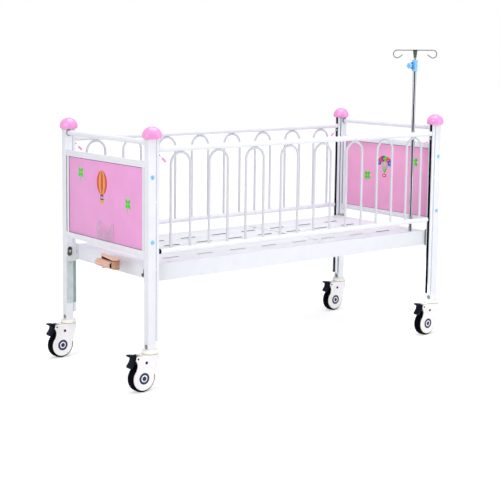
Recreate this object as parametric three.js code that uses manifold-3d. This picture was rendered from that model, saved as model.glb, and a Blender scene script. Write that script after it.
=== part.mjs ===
// Pediatric hospital cot: steel cot with drop-side rails, crank-raised backrest, drip pole and castors.
// Millimetres, +Z up. X runs from the foot end to the head end, Y from the front to the back.
import * as THREE from 'three';
import { mergeVertices } from 'three/addons/utils/BufferGeometryUtils.js';
import Module from 'manifold-3d';

const wasm = await Module();
wasm.setup();

// Gap kept between two pieces that touch, how deep welded pieces run into each other,
// and how far a cutting shape goes past the face it cuts
const GAP = 0.3;
const WELD_OVERLAP = 1.5;
const BEYOND = 1;

// Castors
const WHEEL_DIAMETER = 125;
const TYRE_WIDTH = 38;
const TYRE_SHOULDER = 9;
const CASTOR_TRAIL = 44;
const AXLE_DIAMETER = 12;
const AXLE_CLEARANCE = 0.3;
const AXLE_COVER = 2;
const SHELL_WALL = 4;
const SHELL_COVER_RADIUS = 53;
const SHELL_TYRE_GAP = 2;
const SHELL_SIDE_GAP = 1;
const SHELL_EDGE = 4;
const SHELL_CROWN = 37;
const SHELL_FRONT = 33;
const SHELL_HOOD = 82;
const SHELL_NECK_BULGE = 14;
const SHELL_FRONT_TUCK = 3;
const SHELL_ARC_START = THREE.MathUtils.degToRad(138);
const SHELL_ARC_END = THREE.MathUtils.degToRad(368);
const COLLAR_RADIUS = 35.5;
const COLLAR_HEIGHT = 18;
const COLLAR_EDGE = 4;
const STEM_DIAMETER = 30;
const STEM_LENGTH = 70;
const PEDAL_REACH = 114;
const PEDAL_PLATE_RISE = 3;
const PEDAL_PLATE_RADIUS = 4;
const PEDAL_PAD_SETBACK = 10;
const PEDAL_PAD_DROP = 44;
const PEDAL_PAD_RADIUS = 9;
const PEDAL_EYE_WALL = 6;
const PEDAL_PIN_SETBACK = 75;
const PEDAL_PIN_DROP = 11;
const PEDAL_WIDTH = 29;
const PEDAL_SIDE_GAP = 1.5;
const PEDAL_PIN_DIAMETER = 8;
const PEDAL_PIN_CLEARANCE = 0.4;

// Corner posts with guide channels
const POST_SPACING_X = 1774;
const POST_SPACING_Y = 702;
const POST_SIDE = 38;
const POST_WALL = 2;
const POST_CORNER = 3;
const POST_TOP = 1112;
const CHANNEL_DEPTH = 19;
const CHANNEL_WIDTH = 27;
const CHANNEL_WALL = 2.5;
const CHANNEL_SLOT = 12;
const CHANNEL_BOTTOM = 215;

// Post caps
const CAP_RADIUS = 43.5;
const CAP_HEIGHT = 52;
const CAP_OVERLAP = 14;
const CAP_FIT = 0.5;
const CAP_TUCK = THREE.MathUtils.degToRad(20);

// End boards
const END_TUBE_DIAMETER = 25;
const END_TUBE_WALL = 2;
const END_TUBE_DROP = 32;
const END_FRAME_DEPTH = 25;
const END_FRAME_SETBACK = 1;
const END_FRAME_RISE = 35;
const END_FRAME_DROP = 114;
const END_RAIL_HEIGHT = 26;
const END_STILE_WIDTH = 20;
const END_STILE_SETBACK = 3;
const PANEL_THICKNESS = 10;
const PANEL_RECESS = 6;
const PANEL_FIT = 0.5;
const PANEL_GROOVE = 8;

// Chart holder on the foot panel
const CHART_WIDTH = 138;
const CHART_HEIGHT = 86;
const CHART_WALL = 2.5;
const CHART_POCKET = 5;
const CHART_CENTRE_Y = -12;
const CHART_HORN = 14;
const CHART_NOTCH = 34;
const CHART_NOTCH_SLOPE = 14;
const CHART_HOLE_DIAMETER = 22;

// Deck frame
const DECK_TOP = 550;
const DECK_SHEET = 2.3;
const DECK_SIDE_MARGIN = 36;
const DECK_CORNER = 6;
const FRAME_END_GAP = 3;
const FRAME_SIDE_GAP = 2;
const FRAME_HEIGHT = 76;
const FRAME_SHEET = 2.5;
const FRAME_FLANGE = 42;
const DECK_BEARING = 30;
const CROSS_MEMBER_X = -340;
const CROSS_MEMBER_WIDTH = 30;
const CROSS_MEMBER_HEIGHT = 27;

// Slots and stiffening ribs of the deck
const SLOT_LENGTH = 88;
const SLOT_WIDTH = 9;
const SLOT_PITCH_X = 190;
const SLOT_END_MARGIN = 146;
const SLOT_FRONT_MARGIN = 54;
const SLOT_BACK_MARGIN = 141;
const SLOT_ROWS = 4;
const RIB_DEPTH = 16;
const RIB_WIDTH = 14;
const RIB_EDGE_MARGIN = 22;

// Corner brackets between the deck frame and the posts
const BRACKET_THICKNESS = 6;
const BRACKET_HEIGHT = 88;
const BRACKET_CORNER = 14;
const BRACKET_TAB = 14;
const BRACKET_INSET = 4;

// Backrest hinge and lift linkage
const HINGE_X = 150;
const HINGE_DROP = 20;
const HINGE_TUBE_DIAMETER = 22;
const HINGE_TUBE_WALL = 2.5;
const HINGE_CLEARANCE = 0.5;
const KNUCKLE_WALL = 4;
const KNUCKLE_WIDTH = 40;
const KNUCKLE_OFFSET_Y = 200;
const DECK_SPLIT_FOOT = 13;
const DECK_SPLIT_HEAD = 22;
const BACKREST_TILT = THREE.MathUtils.degToRad(70);
const LEVER_DROP = 90;
const LEVER_PLATE = 6;
const LEVER_HALF_GAP = 15;
const LEVER_EDGE = 11;
const LEVER_EYE_WALL = 5;
const LEVER_FOOT = 84;
const LIFT_PIN_DIAMETER = 12;
const LIFT_PIN_PLAY = 4;
const LIFT_PIN_END = 4;
const PUSH_TUBE_DIAMETER = 24;
const PUSH_TUBE_WALL = 2;
const PUSH_EAR_WIDTH = 34;
const PUSH_EAR_PLAY = 2;
const NUT_SIDE = 38;
const NUT_LENGTH = 44;
const NUT_END_MARGIN = 76;
const SCREW_DIAMETER = 18;
const SCREW_CLEARANCE = 0.4;
const SCREW_TAIL = 30;
const BUSH_WALL = 4;
const BUSH_FLANGE = 3;
const BUSH_LENGTH = 22;

// Folding crank
const CRANK_Y = -24;
const CRANK_DROP = 45;
const CRANK_STAND_OFF = 68;
const CRANK_ARM_LENGTH = 136;
const CRANK_ARM_DEPTH = 8;
const CRANK_ARM_HEIGHT = 16;
const CRANK_ARM_CORNER = 7;
const CRANK_ARM_RISE = 44;
const CRANK_HUB_RADIUS = 15;
const CRANK_HUB_LENGTH = 22;
const CRANK_LIP = 7;
const CRANK_BOSS_RADIUS = 18.5;
const CRANK_BOSS_FLOOR = 6;
const CRANK_PIN_DIAMETER = 10;
const CRANK_PIN_CLEARANCE = 0.4;
const CRANK_PIN_COVER = 2;
const GRIP_DIAMETER = 35;
const GRIP_LENGTH = 112;
const GRIP_RIBS = 12;
const GRIP_RIB_DEPTH = 1.6;
const GRIP_NECK = 12;
const GRIP_EDGE = 2;
const GRIP_ARM_GAP = 1.5;
const GRIP_TONGUE_WIDTH = 16;
const GRIP_TONGUE_THICKNESS = 13;
const GRIP_TONGUE_ROOT = 4;
const GRIP_EYE_RADIUS = 10;

// Drop rails
const RAIL_TUBE_DIAMETER = 25;
const RAIL_TUBE_WALL = 2;
const RAIL_TOP_DROP = 62;
const RAIL_BOTTOM_RISE = 57;
const RAIL_TOP_END_GAP = 2;
const RAIL_BOTTOM_END_GAP = 14;
const ARCH_COUNT = 8;
const ARCH_END_MARGIN = 18.6;
const ARCH_ROD_DIAMETER = 12;
const SHOE_CLEARANCE = 1;
const SHOE_TOP_LENGTH = 105;
const SHOE_BOTTOM_LENGTH = 60;
const TONGUE_THICKNESS = 9;

// Rail latches
const LATCH_DROP = 24;
const LATCH_EYE_RADIUS = 4.5;
const LATCH_EYE_THICKNESS = 5;
const LATCH_PIN_DIAMETER = 4;
const LATCH_PIN_CLEARANCE = 0.4;
const LATCH_ROD_DIAMETER = 5;
const LATCH_ROD_LENGTH = 28;
const LATCH_TIP_DIAMETER = 10;
const LATCH_TIP_LENGTH = 25;
const LATCH_SLOPE = THREE.MathUtils.degToRad(42);
const LATCH_EAR_THICKNESS = 2;
const LATCH_STAND_OFF = 8;

// Drip pole and its sockets
const SOCKET_END_MARGIN = 89;
const SOCKET_SIDE_MARGIN = 18;
const SOCKET_DIAMETER = 25;
const SOCKET_LENGTH = 80;
const SOCKET_PROUD = 1;
const SOCKET_FLOOR = 4;
const POLE_DIAMETER = 19;
const POLE_CLEARANCE = 0.4;
const POLE_WALL = 1.5;
const POLE_TOP = 1385;
const ROD_DIAMETER = 13;
const ROD_CLEARANCE = 0.4;
const ROD_HIDDEN_LENGTH = 560;
const ROD_SHOWN_LENGTH = 52;
const CLAMP_HEIGHT = 56;
const CLAMP_OVERLAP = 15;
const CLAMP_RADIUS = 14;
const CLAMP_LUG = 22;
const CLAMP_LUG_WIDTH = 16;
const CLAMP_LUG_HEIGHT = 34;
const KNOB_RADIUS = 15.5;
const KNOB_LOBE = 3;
const KNOB_LOBES = 5;
const KNOB_THICKNESS = 14;
const KNOB_STEM_DIAMETER = 8;
const KNOB_STEM_LENGTH = 9;
const KNOB_STEM_DEPTH = 10;
const CONE_HEIGHT = 40;
const CONE_TOP_DIAMETER = 22;
const HOOK_WIRE_DIAMETER = 5;
const HOOK_HALF_SPAN = 91;
const HOOK_CURL_RADIUS = 19.5;
const HOOK_CURL_TURN = THREE.MathUtils.degToRad(202);
const HOOK_TIP_REACH = 29;
const HOOK_TURN = THREE.MathUtils.degToRad(-34.5);

// Facets of round pieces
const ROUND_SIDES = 20;
const TUBE_SIDES = 16;
const ROD_SIDES = 8;
const WHEEL_SIDES = 24;

// Places that follow from the sizes above
const WHEEL_RADIUS = WHEEL_DIAMETER / 2;
const SHELL_WIDTH = TYRE_WIDTH + 2 * (SHELL_SIDE_GAP + SHELL_WALL);
const SHELL_TOP = WHEEL_DIAMETER + SHELL_TYRE_GAP + SHELL_CROWN;
const POST_BOTTOM = SHELL_TOP + COLLAR_HEIGHT + GAP;
const POST_X = POST_SPACING_X / 2;
const POST_Y = POST_SPACING_Y / 2;
const CHANNEL_FACE = POST_X - POST_SIDE / 2 - CHANNEL_DEPTH;
const SPAN_HALF = POST_Y - POST_SIDE / 2 - GAP;
const END_TUBE_HEIGHT = POST_TOP - END_TUBE_DROP;
const END_FRAME_BOTTOM = DECK_TOP + END_FRAME_RISE;
const END_FRAME_TOP = POST_TOP - END_FRAME_DROP;
const FRAME_HALF_LENGTH = CHANNEL_FACE - FRAME_END_GAP;
const FRAME_HALF_WIDTH = POST_Y - POST_SIDE / 2 - FRAME_SIDE_GAP;
const DECK_HALF_WIDTH = FRAME_HALF_WIDTH - DECK_SIDE_MARGIN;
const RIB_OFFSET_Y = DECK_HALF_WIDTH - RIB_EDGE_MARGIN;
const FRAME_TOP = DECK_TOP - DECK_SHEET - GAP;
const FRAME_BOTTOM = FRAME_TOP - FRAME_HEIGHT;
const HINGE_Z = DECK_TOP - HINGE_DROP;
const HALF_TILT = BACKREST_TILT / 2;
const LIFT_TRAVEL = 2 * LEVER_DROP * Math.tan(HALF_TILT);
const NUT_REST_X = -FRAME_HALF_LENGTH + NUT_END_MARGIN;
const CRANK_HEIGHT = DECK_TOP - CRANK_DROP;
const CRANK_FACE = -FRAME_HALF_LENGTH - CRANK_STAND_OFF;
const RAIL_TOP = POST_TOP - RAIL_TOP_DROP;
const RAIL_BOTTOM = DECK_TOP + RAIL_BOTTOM_RISE;
const ARCH_PITCH = (2 * (CHANNEL_FACE - ARCH_END_MARGIN)) / ARCH_COUNT;
const TONGUE_HEIGHT = RAIL_TUBE_DIAMETER - RAIL_TUBE_WALL;
const PEDAL_PIN_X = -PEDAL_PIN_SETBACK;
const PEDAL_PIN_Z = SHELL_TOP - PEDAL_PIN_DROP;
const SOCKET_X = FRAME_HALF_LENGTH - SOCKET_END_MARGIN;
const SOCKET_Y = FRAME_HALF_WIDTH - SOCKET_SIDE_MARGIN;
const CLAMP_BOTTOM = POLE_TOP - CLAMP_OVERLAP;

// The origin is on the floor, under the middle of the whole cot with its castors trailing to the foot end
const FOOT_EXTREME = -POST_X - PEDAL_REACH;
const HEAD_EXTREME = POST_X + Math.max(CAP_RADIUS - CHANNEL_DEPTH / 2, COLLAR_RADIUS);
const ORIGIN_SHIFT_X = -(FOOT_EXTREME + HEAD_EXTREME) / 2;

// Solids

function toSolid(geometry) {
  const bare = geometry.clone();
  bare.deleteAttribute('normal');
  bare.deleteAttribute('uv');
  const merged = mergeVertices(bare, 1e-4);
  const position = merged.attributes.position.array;
  const index = merged.index.array;
  const faces = [];
  let volume = 0;
  for (let i = 0; i < index.length; i += 3) {
    const [a, b, c] = [index[i], index[i + 1], index[i + 2]];
    if (a === b || b === c || c === a) continue;
    faces.push(a, b, c);
    const corner = (n) => new THREE.Vector3().fromArray(position, 3 * n);
    volume += corner(a).dot(corner(b).cross(corner(c)));
  }
  if (volume < 0) faces.reverse();
  return new wasm.Manifold(new wasm.Mesh({
    numProp: 3,
    vertProperties: new Float32Array(position),
    triVerts: new Uint32Array(faces),
  }));
}

function toGeometry(solid) {
  const mesh = solid.getMesh();
  const geometry = new THREE.BufferGeometry();
  geometry.setAttribute('position', new THREE.BufferAttribute(new Float32Array(mesh.vertProperties), 3));
  geometry.setIndex(new THREE.BufferAttribute(new Uint32Array(mesh.triVerts), 1));
  geometry.computeVertexNormals();
  return geometry;
}

function join(...geometries) {
  return toGeometry(geometries.map(toSolid).reduce((sum, next) => sum.add(next)));
}

function cut(geometry, ...tools) {
  return toGeometry(tools.map(toSolid).reduce((rest, tool) => rest.subtract(tool), toSolid(geometry)));
}

// Basic shapes

function block([x0, x1], [y0, y1], [z0, z1]) {
  const geometry = new THREE.BoxGeometry(Math.abs(x1 - x0), Math.abs(y1 - y0), Math.abs(z1 - z0));
  return geometry.translate((x0 + x1) / 2, (y0 + y1) / 2, (z0 + z1) / 2);
}

// A cylinder along an axis, from one end to the other; at holds the two other coordinates in X, Y, Z order
function cylinder(axis, radius, [from, to], at, sides = TUBE_SIDES) {
  const geometry = new THREE.CylinderGeometry(radius, radius, Math.abs(to - from), sides);
  return layAlong(axis, geometry, (from + to) / 2, at);
}

function pipe(axis, radius, wall, [from, to], at, sides = TUBE_SIDES) {
  const ring = circleShape(radius, sides);
  ring.holes.push(circleShape(radius - wall, sides));
  const length = Math.abs(to - from);
  const geometry = new THREE.ExtrudeGeometry(ring, { depth: length, bevelEnabled: false });
  geometry.translate(0, 0, -length / 2).rotateX(-Math.PI / 2);
  return layAlong(axis, geometry, (from + to) / 2, at);
}

function layAlong(axis, geometry, middle, at) {
  if (axis === 'x') return geometry.rotateZ(-Math.PI / 2).translate(middle, at[0], at[1]);
  if (axis === 'z') return geometry.rotateX(Math.PI / 2).translate(at[0], at[1], middle);
  return geometry.translate(at[0], middle, at[1]);
}

function circleShape(radius, sides, x = 0, y = 0) {
  const corners = [];
  for (let i = 0; i < sides; i += 1) {
    const angle = (2 * Math.PI * i) / sides;
    corners.push(new THREE.Vector2(x + radius * Math.cos(angle), y + radius * Math.sin(angle)));
  }
  return new THREE.Shape(corners);
}

function roundedRectangle([x0, x1], [y0, y1], radius) {
  const shape = new THREE.Shape();
  shape.moveTo(x0 + radius, y0);
  shape.lineTo(x1 - radius, y0);
  shape.absarc(x1 - radius, y0 + radius, radius, -Math.PI / 2, 0);
  shape.absarc(x1 - radius, y1 - radius, radius, 0, Math.PI / 2);
  shape.absarc(x0 + radius, y1 - radius, radius, Math.PI / 2, Math.PI);
  shape.absarc(x0 + radius, y0 + radius, radius, Math.PI, 1.5 * Math.PI);
  return shape;
}

// An outline drawn in XZ and given a thickness along Y
function plateXZ(shape, [y0, y1], options = {}) {
  const edge = options.edge ?? 0;
  const geometry = new THREE.ExtrudeGeometry(shape, {
    depth: y1 - y0 - 2 * edge,
    curveSegments: options.segments ?? 6,
    bevelEnabled: edge > 0,
    bevelThickness: edge,
    bevelSize: edge,
    bevelOffset: -edge,
    bevelSegments: 1,
  });
  return geometry.rotateX(Math.PI / 2).translate(0, y1 - edge, 0);
}

// An outline drawn in YZ and given a thickness along X
function plateYZ(shape, [x0, x1], segments = 6) {
  const geometry = new THREE.ExtrudeGeometry(shape, {
    depth: x1 - x0,
    curveSegments: segments,
    bevelEnabled: false,
  });
  return geometry.rotateX(Math.PI / 2).rotateZ(Math.PI / 2).translate(x0, 0, 0);
}

function plateXY(shape, [z0, z1], segments = 6) {
  const geometry = new THREE.ExtrudeGeometry(shape, {
    depth: z1 - z0,
    curveSegments: segments,
    bevelEnabled: false,
  });
  return geometry.translate(0, 0, z0);
}

// A profile of radius and height turned about Z
function revolve(profile, sides, phase = 0) {
  return new THREE.LatheGeometry(profile, sides, phase).rotateX(Math.PI / 2);
}

// A path whose rings stand at chosen stations, for a round bar swept along it
class StationPath extends THREE.Curve {
  constructor(stations) {
    super();
    this.stations = stations;
  }

  getPoint(t) {
    const place = t * (this.stations.length - 1);
    const first = Math.min(Math.floor(place), this.stations.length - 2);
    return this.stations[first].clone().lerp(this.stations[first + 1], place - first);
  }

  getPointAt(u) {
    return this.getPoint(u);
  }

  getTangentAt(u) {
    const place = Math.round(u * (this.stations.length - 1));
    const before = this.stations[Math.max(place - 1, 0)];
    const after = this.stations[Math.min(place + 1, this.stations.length - 1)];
    return after.clone().sub(before).normalize();
  }
}

function bar(stations, diameter, sides = ROD_SIDES) {
  return new THREE.ExtrudeGeometry(circleShape(diameter / 2, sides), {
    steps: stations.length - 1,
    extrudePath: new StationPath(stations),
  });
}

// Points of an arc in the XZ plane, from one angle to another
function arcStations([x, z], radius, [from, to], steps, y = 0) {
  const stations = [];
  for (let i = 0; i <= steps; i += 1) {
    const angle = from + ((to - from) * i) / steps;
    stations.push(new THREE.Vector3(x + radius * Math.cos(angle), y, z + radius * Math.sin(angle)));
  }
  return stations;
}

// Finishes
const FINISH = {
  whitePaint: { color: 0xf1f2f8, roughness: 0.3, metalness: 0 },
  whiteShell: { color: 0xf0ecef, roughness: 0.35, metalness: 0 },
  pinkPlastic: { color: 0xf7a9e6, roughness: 0.2, metalness: 0 },
  pinkPanel: { color: 0xeda8dd, roughness: 0.4, metalness: 0 },
  bluePlastic: { color: 0x6fb6f5, roughness: 0.3, metalness: 0 },
  copperPlastic: { color: 0xd9a184, roughness: 0.35, metalness: 0.1 },
  blackPlastic: { color: 0x16181d, roughness: 0.45, metalness: 0 },
  rubber: { color: 0x11131c, roughness: 0.5, metalness: 0 },
  steel: { color: 0xb4b4ae, roughness: 0.25, metalness: 1 },
  zinc: { color: 0x8d8f88, roughness: 0.45, metalness: 0.8 },
  clear: { color: 0xf3dcee, roughness: 0.1, metalness: 0, transparent: true, opacity: 0.4 },
};

function addPart(parent, name, finish, geometry) {
  const part = new THREE.Mesh(geometry, new THREE.MeshStandardMaterial(FINISH[finish]));
  part.name = name;
  parent.add(part);
  return part;
}

function addGroup(parent, x = 0, y = 0, z = 0) {
  const group = new THREE.Group();
  group.position.set(x, y, z);
  parent.add(group);
  return group;
}

// Castors: drawn with the swivel axis at X = Y = 0, trailing towards -X

function shellOutline() {
  const axleX = -CASTOR_TRAIL;
  const startX = axleX + SHELL_COVER_RADIUS * Math.cos(SHELL_ARC_START);
  const startZ = WHEEL_RADIUS + SHELL_COVER_RADIUS * Math.sin(SHELL_ARC_START);
  const low = SHELL_TOP - SHELL_CROWN;
  const shape = new THREE.Shape();
  shape.moveTo(SHELL_FRONT, SHELL_TOP);
  shape.lineTo(-SHELL_HOOD, SHELL_TOP);
  shape.lineTo(-SHELL_HOOD - SHELL_EDGE, SHELL_TOP - SHELL_CROWN / 2);
  shape.quadraticCurveTo(startX + SHELL_NECK_BULGE, low, startX, startZ);
  shape.absarc(axleX, WHEEL_RADIUS, SHELL_COVER_RADIUS, SHELL_ARC_START, SHELL_ARC_END);
  shape.quadraticCurveTo(SHELL_FRONT - SHELL_FRONT_TUCK, low, SHELL_FRONT, SHELL_TOP);
  return shape;
}

function castorShell() {
  const half = SHELL_WIDTH / 2;
  const slotHalf = TYRE_WIDTH / 2 + SHELL_SIDE_GAP;
  const pedalHalf = PEDAL_WIDTH / 2 + PEDAL_SIDE_GAP;
  const tyreRoom = cylinder(
    'y', WHEEL_RADIUS + SHELL_TYRE_GAP, [-slotHalf, slotHalf], [-CASTOR_TRAIL, WHEEL_RADIUS], WHEEL_SIDES,
  );
  const pedalRoom = block(
    [-PEDAL_REACH, PEDAL_PIN_X + PEDAL_PIN_DIAMETER + SHELL_EDGE],
    [-pedalHalf, pedalHalf],
    [WHEEL_RADIUS, SHELL_TOP + BEYOND],
  );
  const cover = plateXZ(shellOutline(), [-half, half], { edge: SHELL_EDGE });
  const body = cut(cover, tyreRoom, pedalRoom);
  const collar = revolve([
    new THREE.Vector2(0, SHELL_TOP - WELD_OVERLAP),
    new THREE.Vector2(COLLAR_RADIUS - COLLAR_EDGE, SHELL_TOP - WELD_OVERLAP),
    new THREE.Vector2(COLLAR_RADIUS, SHELL_TOP + COLLAR_EDGE),
    new THREE.Vector2(COLLAR_RADIUS, SHELL_TOP + COLLAR_HEIGHT - COLLAR_EDGE),
    new THREE.Vector2(COLLAR_RADIUS - COLLAR_EDGE, SHELL_TOP + COLLAR_HEIGHT),
    new THREE.Vector2(0, SHELL_TOP + COLLAR_HEIGHT),
  ], ROUND_SIDES);
  const stemTop = SHELL_TOP + COLLAR_HEIGHT + STEM_LENGTH;
  const stem = cylinder('z', STEM_DIAMETER / 2, [SHELL_TOP, stemTop], [0, 0]);
  const across = [-half + AXLE_COVER, half - AXLE_COVER];
  const axle = cylinder('y', AXLE_DIAMETER / 2, across, [-CASTOR_TRAIL, WHEEL_RADIUS]);
  const pin = cylinder('y', PEDAL_PIN_DIAMETER / 2, across, [PEDAL_PIN_X, PEDAL_PIN_Z]);
  return join(body, collar, stem, axle, pin);
}

function castorWheel() {
  const half = TYRE_WIDTH / 2;
  const flatRadius = WHEEL_RADIUS / Math.cos(Math.PI / WHEEL_SIDES);
  const bore = AXLE_DIAMETER / 2 + AXLE_CLEARANCE;
  const slope = TYRE_SHOULDER * Math.SQRT1_2;
  const profile = [
    new THREE.Vector2(bore, -half),
    new THREE.Vector2(flatRadius - TYRE_SHOULDER, -half),
    new THREE.Vector2(flatRadius - TYRE_SHOULDER + slope, -half + TYRE_SHOULDER - slope),
    new THREE.Vector2(flatRadius, -half + TYRE_SHOULDER),
    new THREE.Vector2(flatRadius, half - TYRE_SHOULDER),
    new THREE.Vector2(flatRadius - TYRE_SHOULDER + slope, half - TYRE_SHOULDER + slope),
    new THREE.Vector2(flatRadius - TYRE_SHOULDER, half),
    new THREE.Vector2(bore, half),
    new THREE.Vector2(bore, -half),
  ];
  const wheel = new THREE.LatheGeometry(profile, WHEEL_SIDES, Math.PI / WHEEL_SIDES);
  return join(wheel.translate(-CASTOR_TRAIL, 0, WHEEL_RADIUS));
}

// The outline round two circles and the two straight lines that touch both
function limbShape([x0, z0], radius0, [x1, z1], radius1) {
  const direction = Math.atan2(z1 - z0, x1 - x0);
  const lean = Math.acos((radius0 - radius1) / Math.hypot(x1 - x0, z1 - z0));
  const shape = new THREE.Shape();
  shape.absarc(x0, z0, radius0, direction + lean, direction - lean + 2 * Math.PI);
  shape.absarc(x1, z1, radius1, direction - lean, direction + lean);
  return shape;
}

// The pedal rocks on its pin: the upper plate is pressed to lock, the lower pad to release
function castorPedal() {
  const half = PEDAL_WIDTH / 2;
  const pin = [PEDAL_PIN_X, PEDAL_PIN_Z];
  const eye = PEDAL_PIN_DIAMETER / 2 + PEDAL_EYE_WALL;
  const plateEnd = [-PEDAL_REACH + PEDAL_PLATE_RADIUS, SHELL_TOP + PEDAL_PLATE_RISE];
  const padEnd = [-PEDAL_REACH + PEDAL_PAD_SETBACK, SHELL_TOP - PEDAL_PAD_DROP];
  const body = join(
    plateXZ(limbShape(pin, eye, plateEnd, PEDAL_PLATE_RADIUS), [-half, half]),
    plateXZ(limbShape(pin, eye, padEnd, PEDAL_PAD_RADIUS), [-half, half]),
  );
  const pinRoom = PEDAL_PIN_DIAMETER / 2 + PEDAL_PIN_CLEARANCE;
  return cut(body, cylinder('y', pinRoom, [-half - BEYOND, half + BEYOND], pin));
}

function addCastor(cot, corner, x, y) {
  const group = addGroup(cot, x, y);
  addPart(group, `castor_${corner}_shell`, 'whiteShell', castorShell());
  addPart(group, `castor_${corner}_wheel`, 'rubber', castorWheel());
  addPart(group, `castor_${corner}_pedal`, 'blackPlastic', castorPedal());
}

// Posts: drawn at X = Y = 0 with the guide channel towards the side that inward names

function post(inward) {
  const half = POST_SIDE / 2;
  const outline = roundedRectangle([-half, half], [-half, half], POST_CORNER);
  const inner = half - POST_WALL;
  outline.holes.push(roundedRectangle([-inner, inner], [-inner, inner], POST_CORNER - POST_WALL));
  const tube = plateXY(outline, [POST_BOTTOM, POST_TOP], 3);
  const mouth = half + CHANNEL_DEPTH;
  const height = [CHANNEL_BOTTOM, POST_TOP];
  const beyond = [CHANNEL_BOTTOM - BEYOND, POST_TOP + BEYOND];
  const cavityHalf = CHANNEL_WIDTH / 2 - CHANNEL_WALL;
  const channel = cut(
    block([inward * (half - POST_WALL / 2), inward * mouth], [-CHANNEL_WIDTH / 2, CHANNEL_WIDTH / 2], height),
    block([inward * half, inward * (mouth - CHANNEL_WALL)], [-cavityHalf, cavityHalf], beyond),
    block([inward * half, inward * (mouth + BEYOND)], [-CHANNEL_SLOT / 2, CHANNEL_SLOT / 2], beyond),
  );
  return join(tube, channel);
}

function postCap() {
  const rim = POST_TOP - CAP_OVERLAP;
  const crown = CAP_HEIGHT / (1 + Math.sin(CAP_TUCK));
  const equator = rim + crown * Math.sin(CAP_TUCK);
  const steps = 6;
  const profile = [
    new THREE.Vector2(0, rim),
    new THREE.Vector2(CAP_RADIUS * Math.cos(CAP_TUCK), rim),
  ];
  for (let i = 0; i < steps; i += 1) {
    const angle = (Math.PI / 2) * (i / steps);
    profile.push(new THREE.Vector2(CAP_RADIUS * Math.cos(angle), equator + crown * Math.sin(angle)));
  }
  profile.push(new THREE.Vector2(0, rim + CAP_HEIGHT));
  const recessX = (POST_SIDE + CHANNEL_DEPTH) / 2 + CAP_FIT;
  const recessY = POST_SIDE / 2 + CAP_FIT;
  const recess = block([-recessX, recessX], [-recessY, recessY], [rim - BEYOND, POST_TOP + GAP]);
  return cut(revolve(profile, ROUND_SIDES), recess);
}

function addPost(cot, corner, x, y, inward) {
  const group = addGroup(cot, x, y);
  addPart(group, `post_${corner}`, 'whitePaint', post(inward));
  const cap = addPart(group, `post_cap_${corner}`, 'pinkPlastic', postCap());
  cap.position.x = (inward * CHANNEL_DEPTH) / 2;
}

// End boards: drawn at the post centre line, with outward as the side that faces away from the cot

function addEndBoard(cot, end, outward) {
  const group = addGroup(cot, outward * POST_X);
  const span = [-SPAN_HALF, SPAN_HALF];
  addPart(group, `${end}_top_tube`, 'whitePaint', pipe(
    'y', END_TUBE_DIAMETER / 2, END_TUBE_WALL, span, [0, END_TUBE_HEIGHT],
  ));
  const face = POST_SIDE / 2 - END_FRAME_SETBACK;
  const middle = face - PANEL_RECESS - PANEL_THICKNESS / 2;
  const depth = [outward * face, outward * (face - END_FRAME_DEPTH)];
  const beyond = [outward * (face + BEYOND), outward * (face - END_FRAME_DEPTH - BEYOND)];
  const windowY = SPAN_HALF - END_STILE_WIDTH;
  const windowZ = [END_FRAME_BOTTOM + END_RAIL_HEIGHT, END_FRAME_TOP - END_RAIL_HEIGHT];
  const slab = (half, grow) => block(
    [outward * middle - half, outward * middle + half],
    [-windowY - grow, windowY + grow],
    [windowZ[0] - grow, windowZ[1] + grow],
  );
  const window = block(beyond, [-windowY, windowY], windowZ);
  const relief = block(
    [beyond[0], outward * (face - END_STILE_SETBACK)],
    [-SPAN_HALF - BEYOND, SPAN_HALF + BEYOND],
    windowZ,
  );
  const groove = slab(PANEL_THICKNESS / 2 + PANEL_FIT, PANEL_GROOVE);
  const frame = block(depth, span, [END_FRAME_BOTTOM, END_FRAME_TOP]);
  addPart(group, `${end}_end_frame`, 'whitePaint', cut(frame, window, groove, relief));
  const panel = slab(PANEL_THICKNESS / 2, PANEL_GROOVE - PANEL_FIT);
  addPart(group, `${end}_panel`, 'pinkPanel', join(panel));
}

// A clear pocket on the foot panel, open at the top, with a notched front and a finger hole
function chartHolder() {
  const panelFace = -POST_X - POST_SIDE / 2 + END_FRAME_SETBACK + PANEL_RECESS;
  const back = panelFace - GAP;
  const front = back - 2 * CHART_WALL - CHART_POCKET;
  const low = END_FRAME_BOTTOM + END_RAIL_HEIGHT + GAP;
  const high = low + CHART_HEIGHT;
  const half = CHART_WIDTH / 2;
  const box = block([front, back], [CHART_CENTRE_Y - half, CHART_CENTRE_Y + half], [low, high]);
  const pocketHalf = half - CHART_WALL;
  const pocket = block(
    [front + CHART_WALL, back - CHART_WALL],
    [CHART_CENTRE_Y - pocketHalf, CHART_CENTRE_Y + pocketHalf],
    [low + CHART_WALL, high + BEYOND],
  );
  const notchTop = half - CHART_HORN;
  const notchFloor = notchTop - CHART_NOTCH_SLOPE;
  const notch = new THREE.Shape();
  notch.moveTo(CHART_CENTRE_Y - notchTop, high + BEYOND);
  notch.lineTo(CHART_CENTRE_Y - notchFloor, high - CHART_NOTCH);
  notch.lineTo(CHART_CENTRE_Y + notchFloor, high - CHART_NOTCH);
  notch.lineTo(CHART_CENTRE_Y + notchTop, high + BEYOND);
  const hole = circleShape(CHART_HOLE_DIAMETER / 2, TUBE_SIDES, CHART_CENTRE_Y, low + CHART_HOLE_DIAMETER);
  const frontCut = [front - BEYOND, front + CHART_WALL + BEYOND];
  return cut(box, pocket, plateYZ(notch, frontCut), plateYZ(hole, frontCut));
}

// Deck frame

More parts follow.
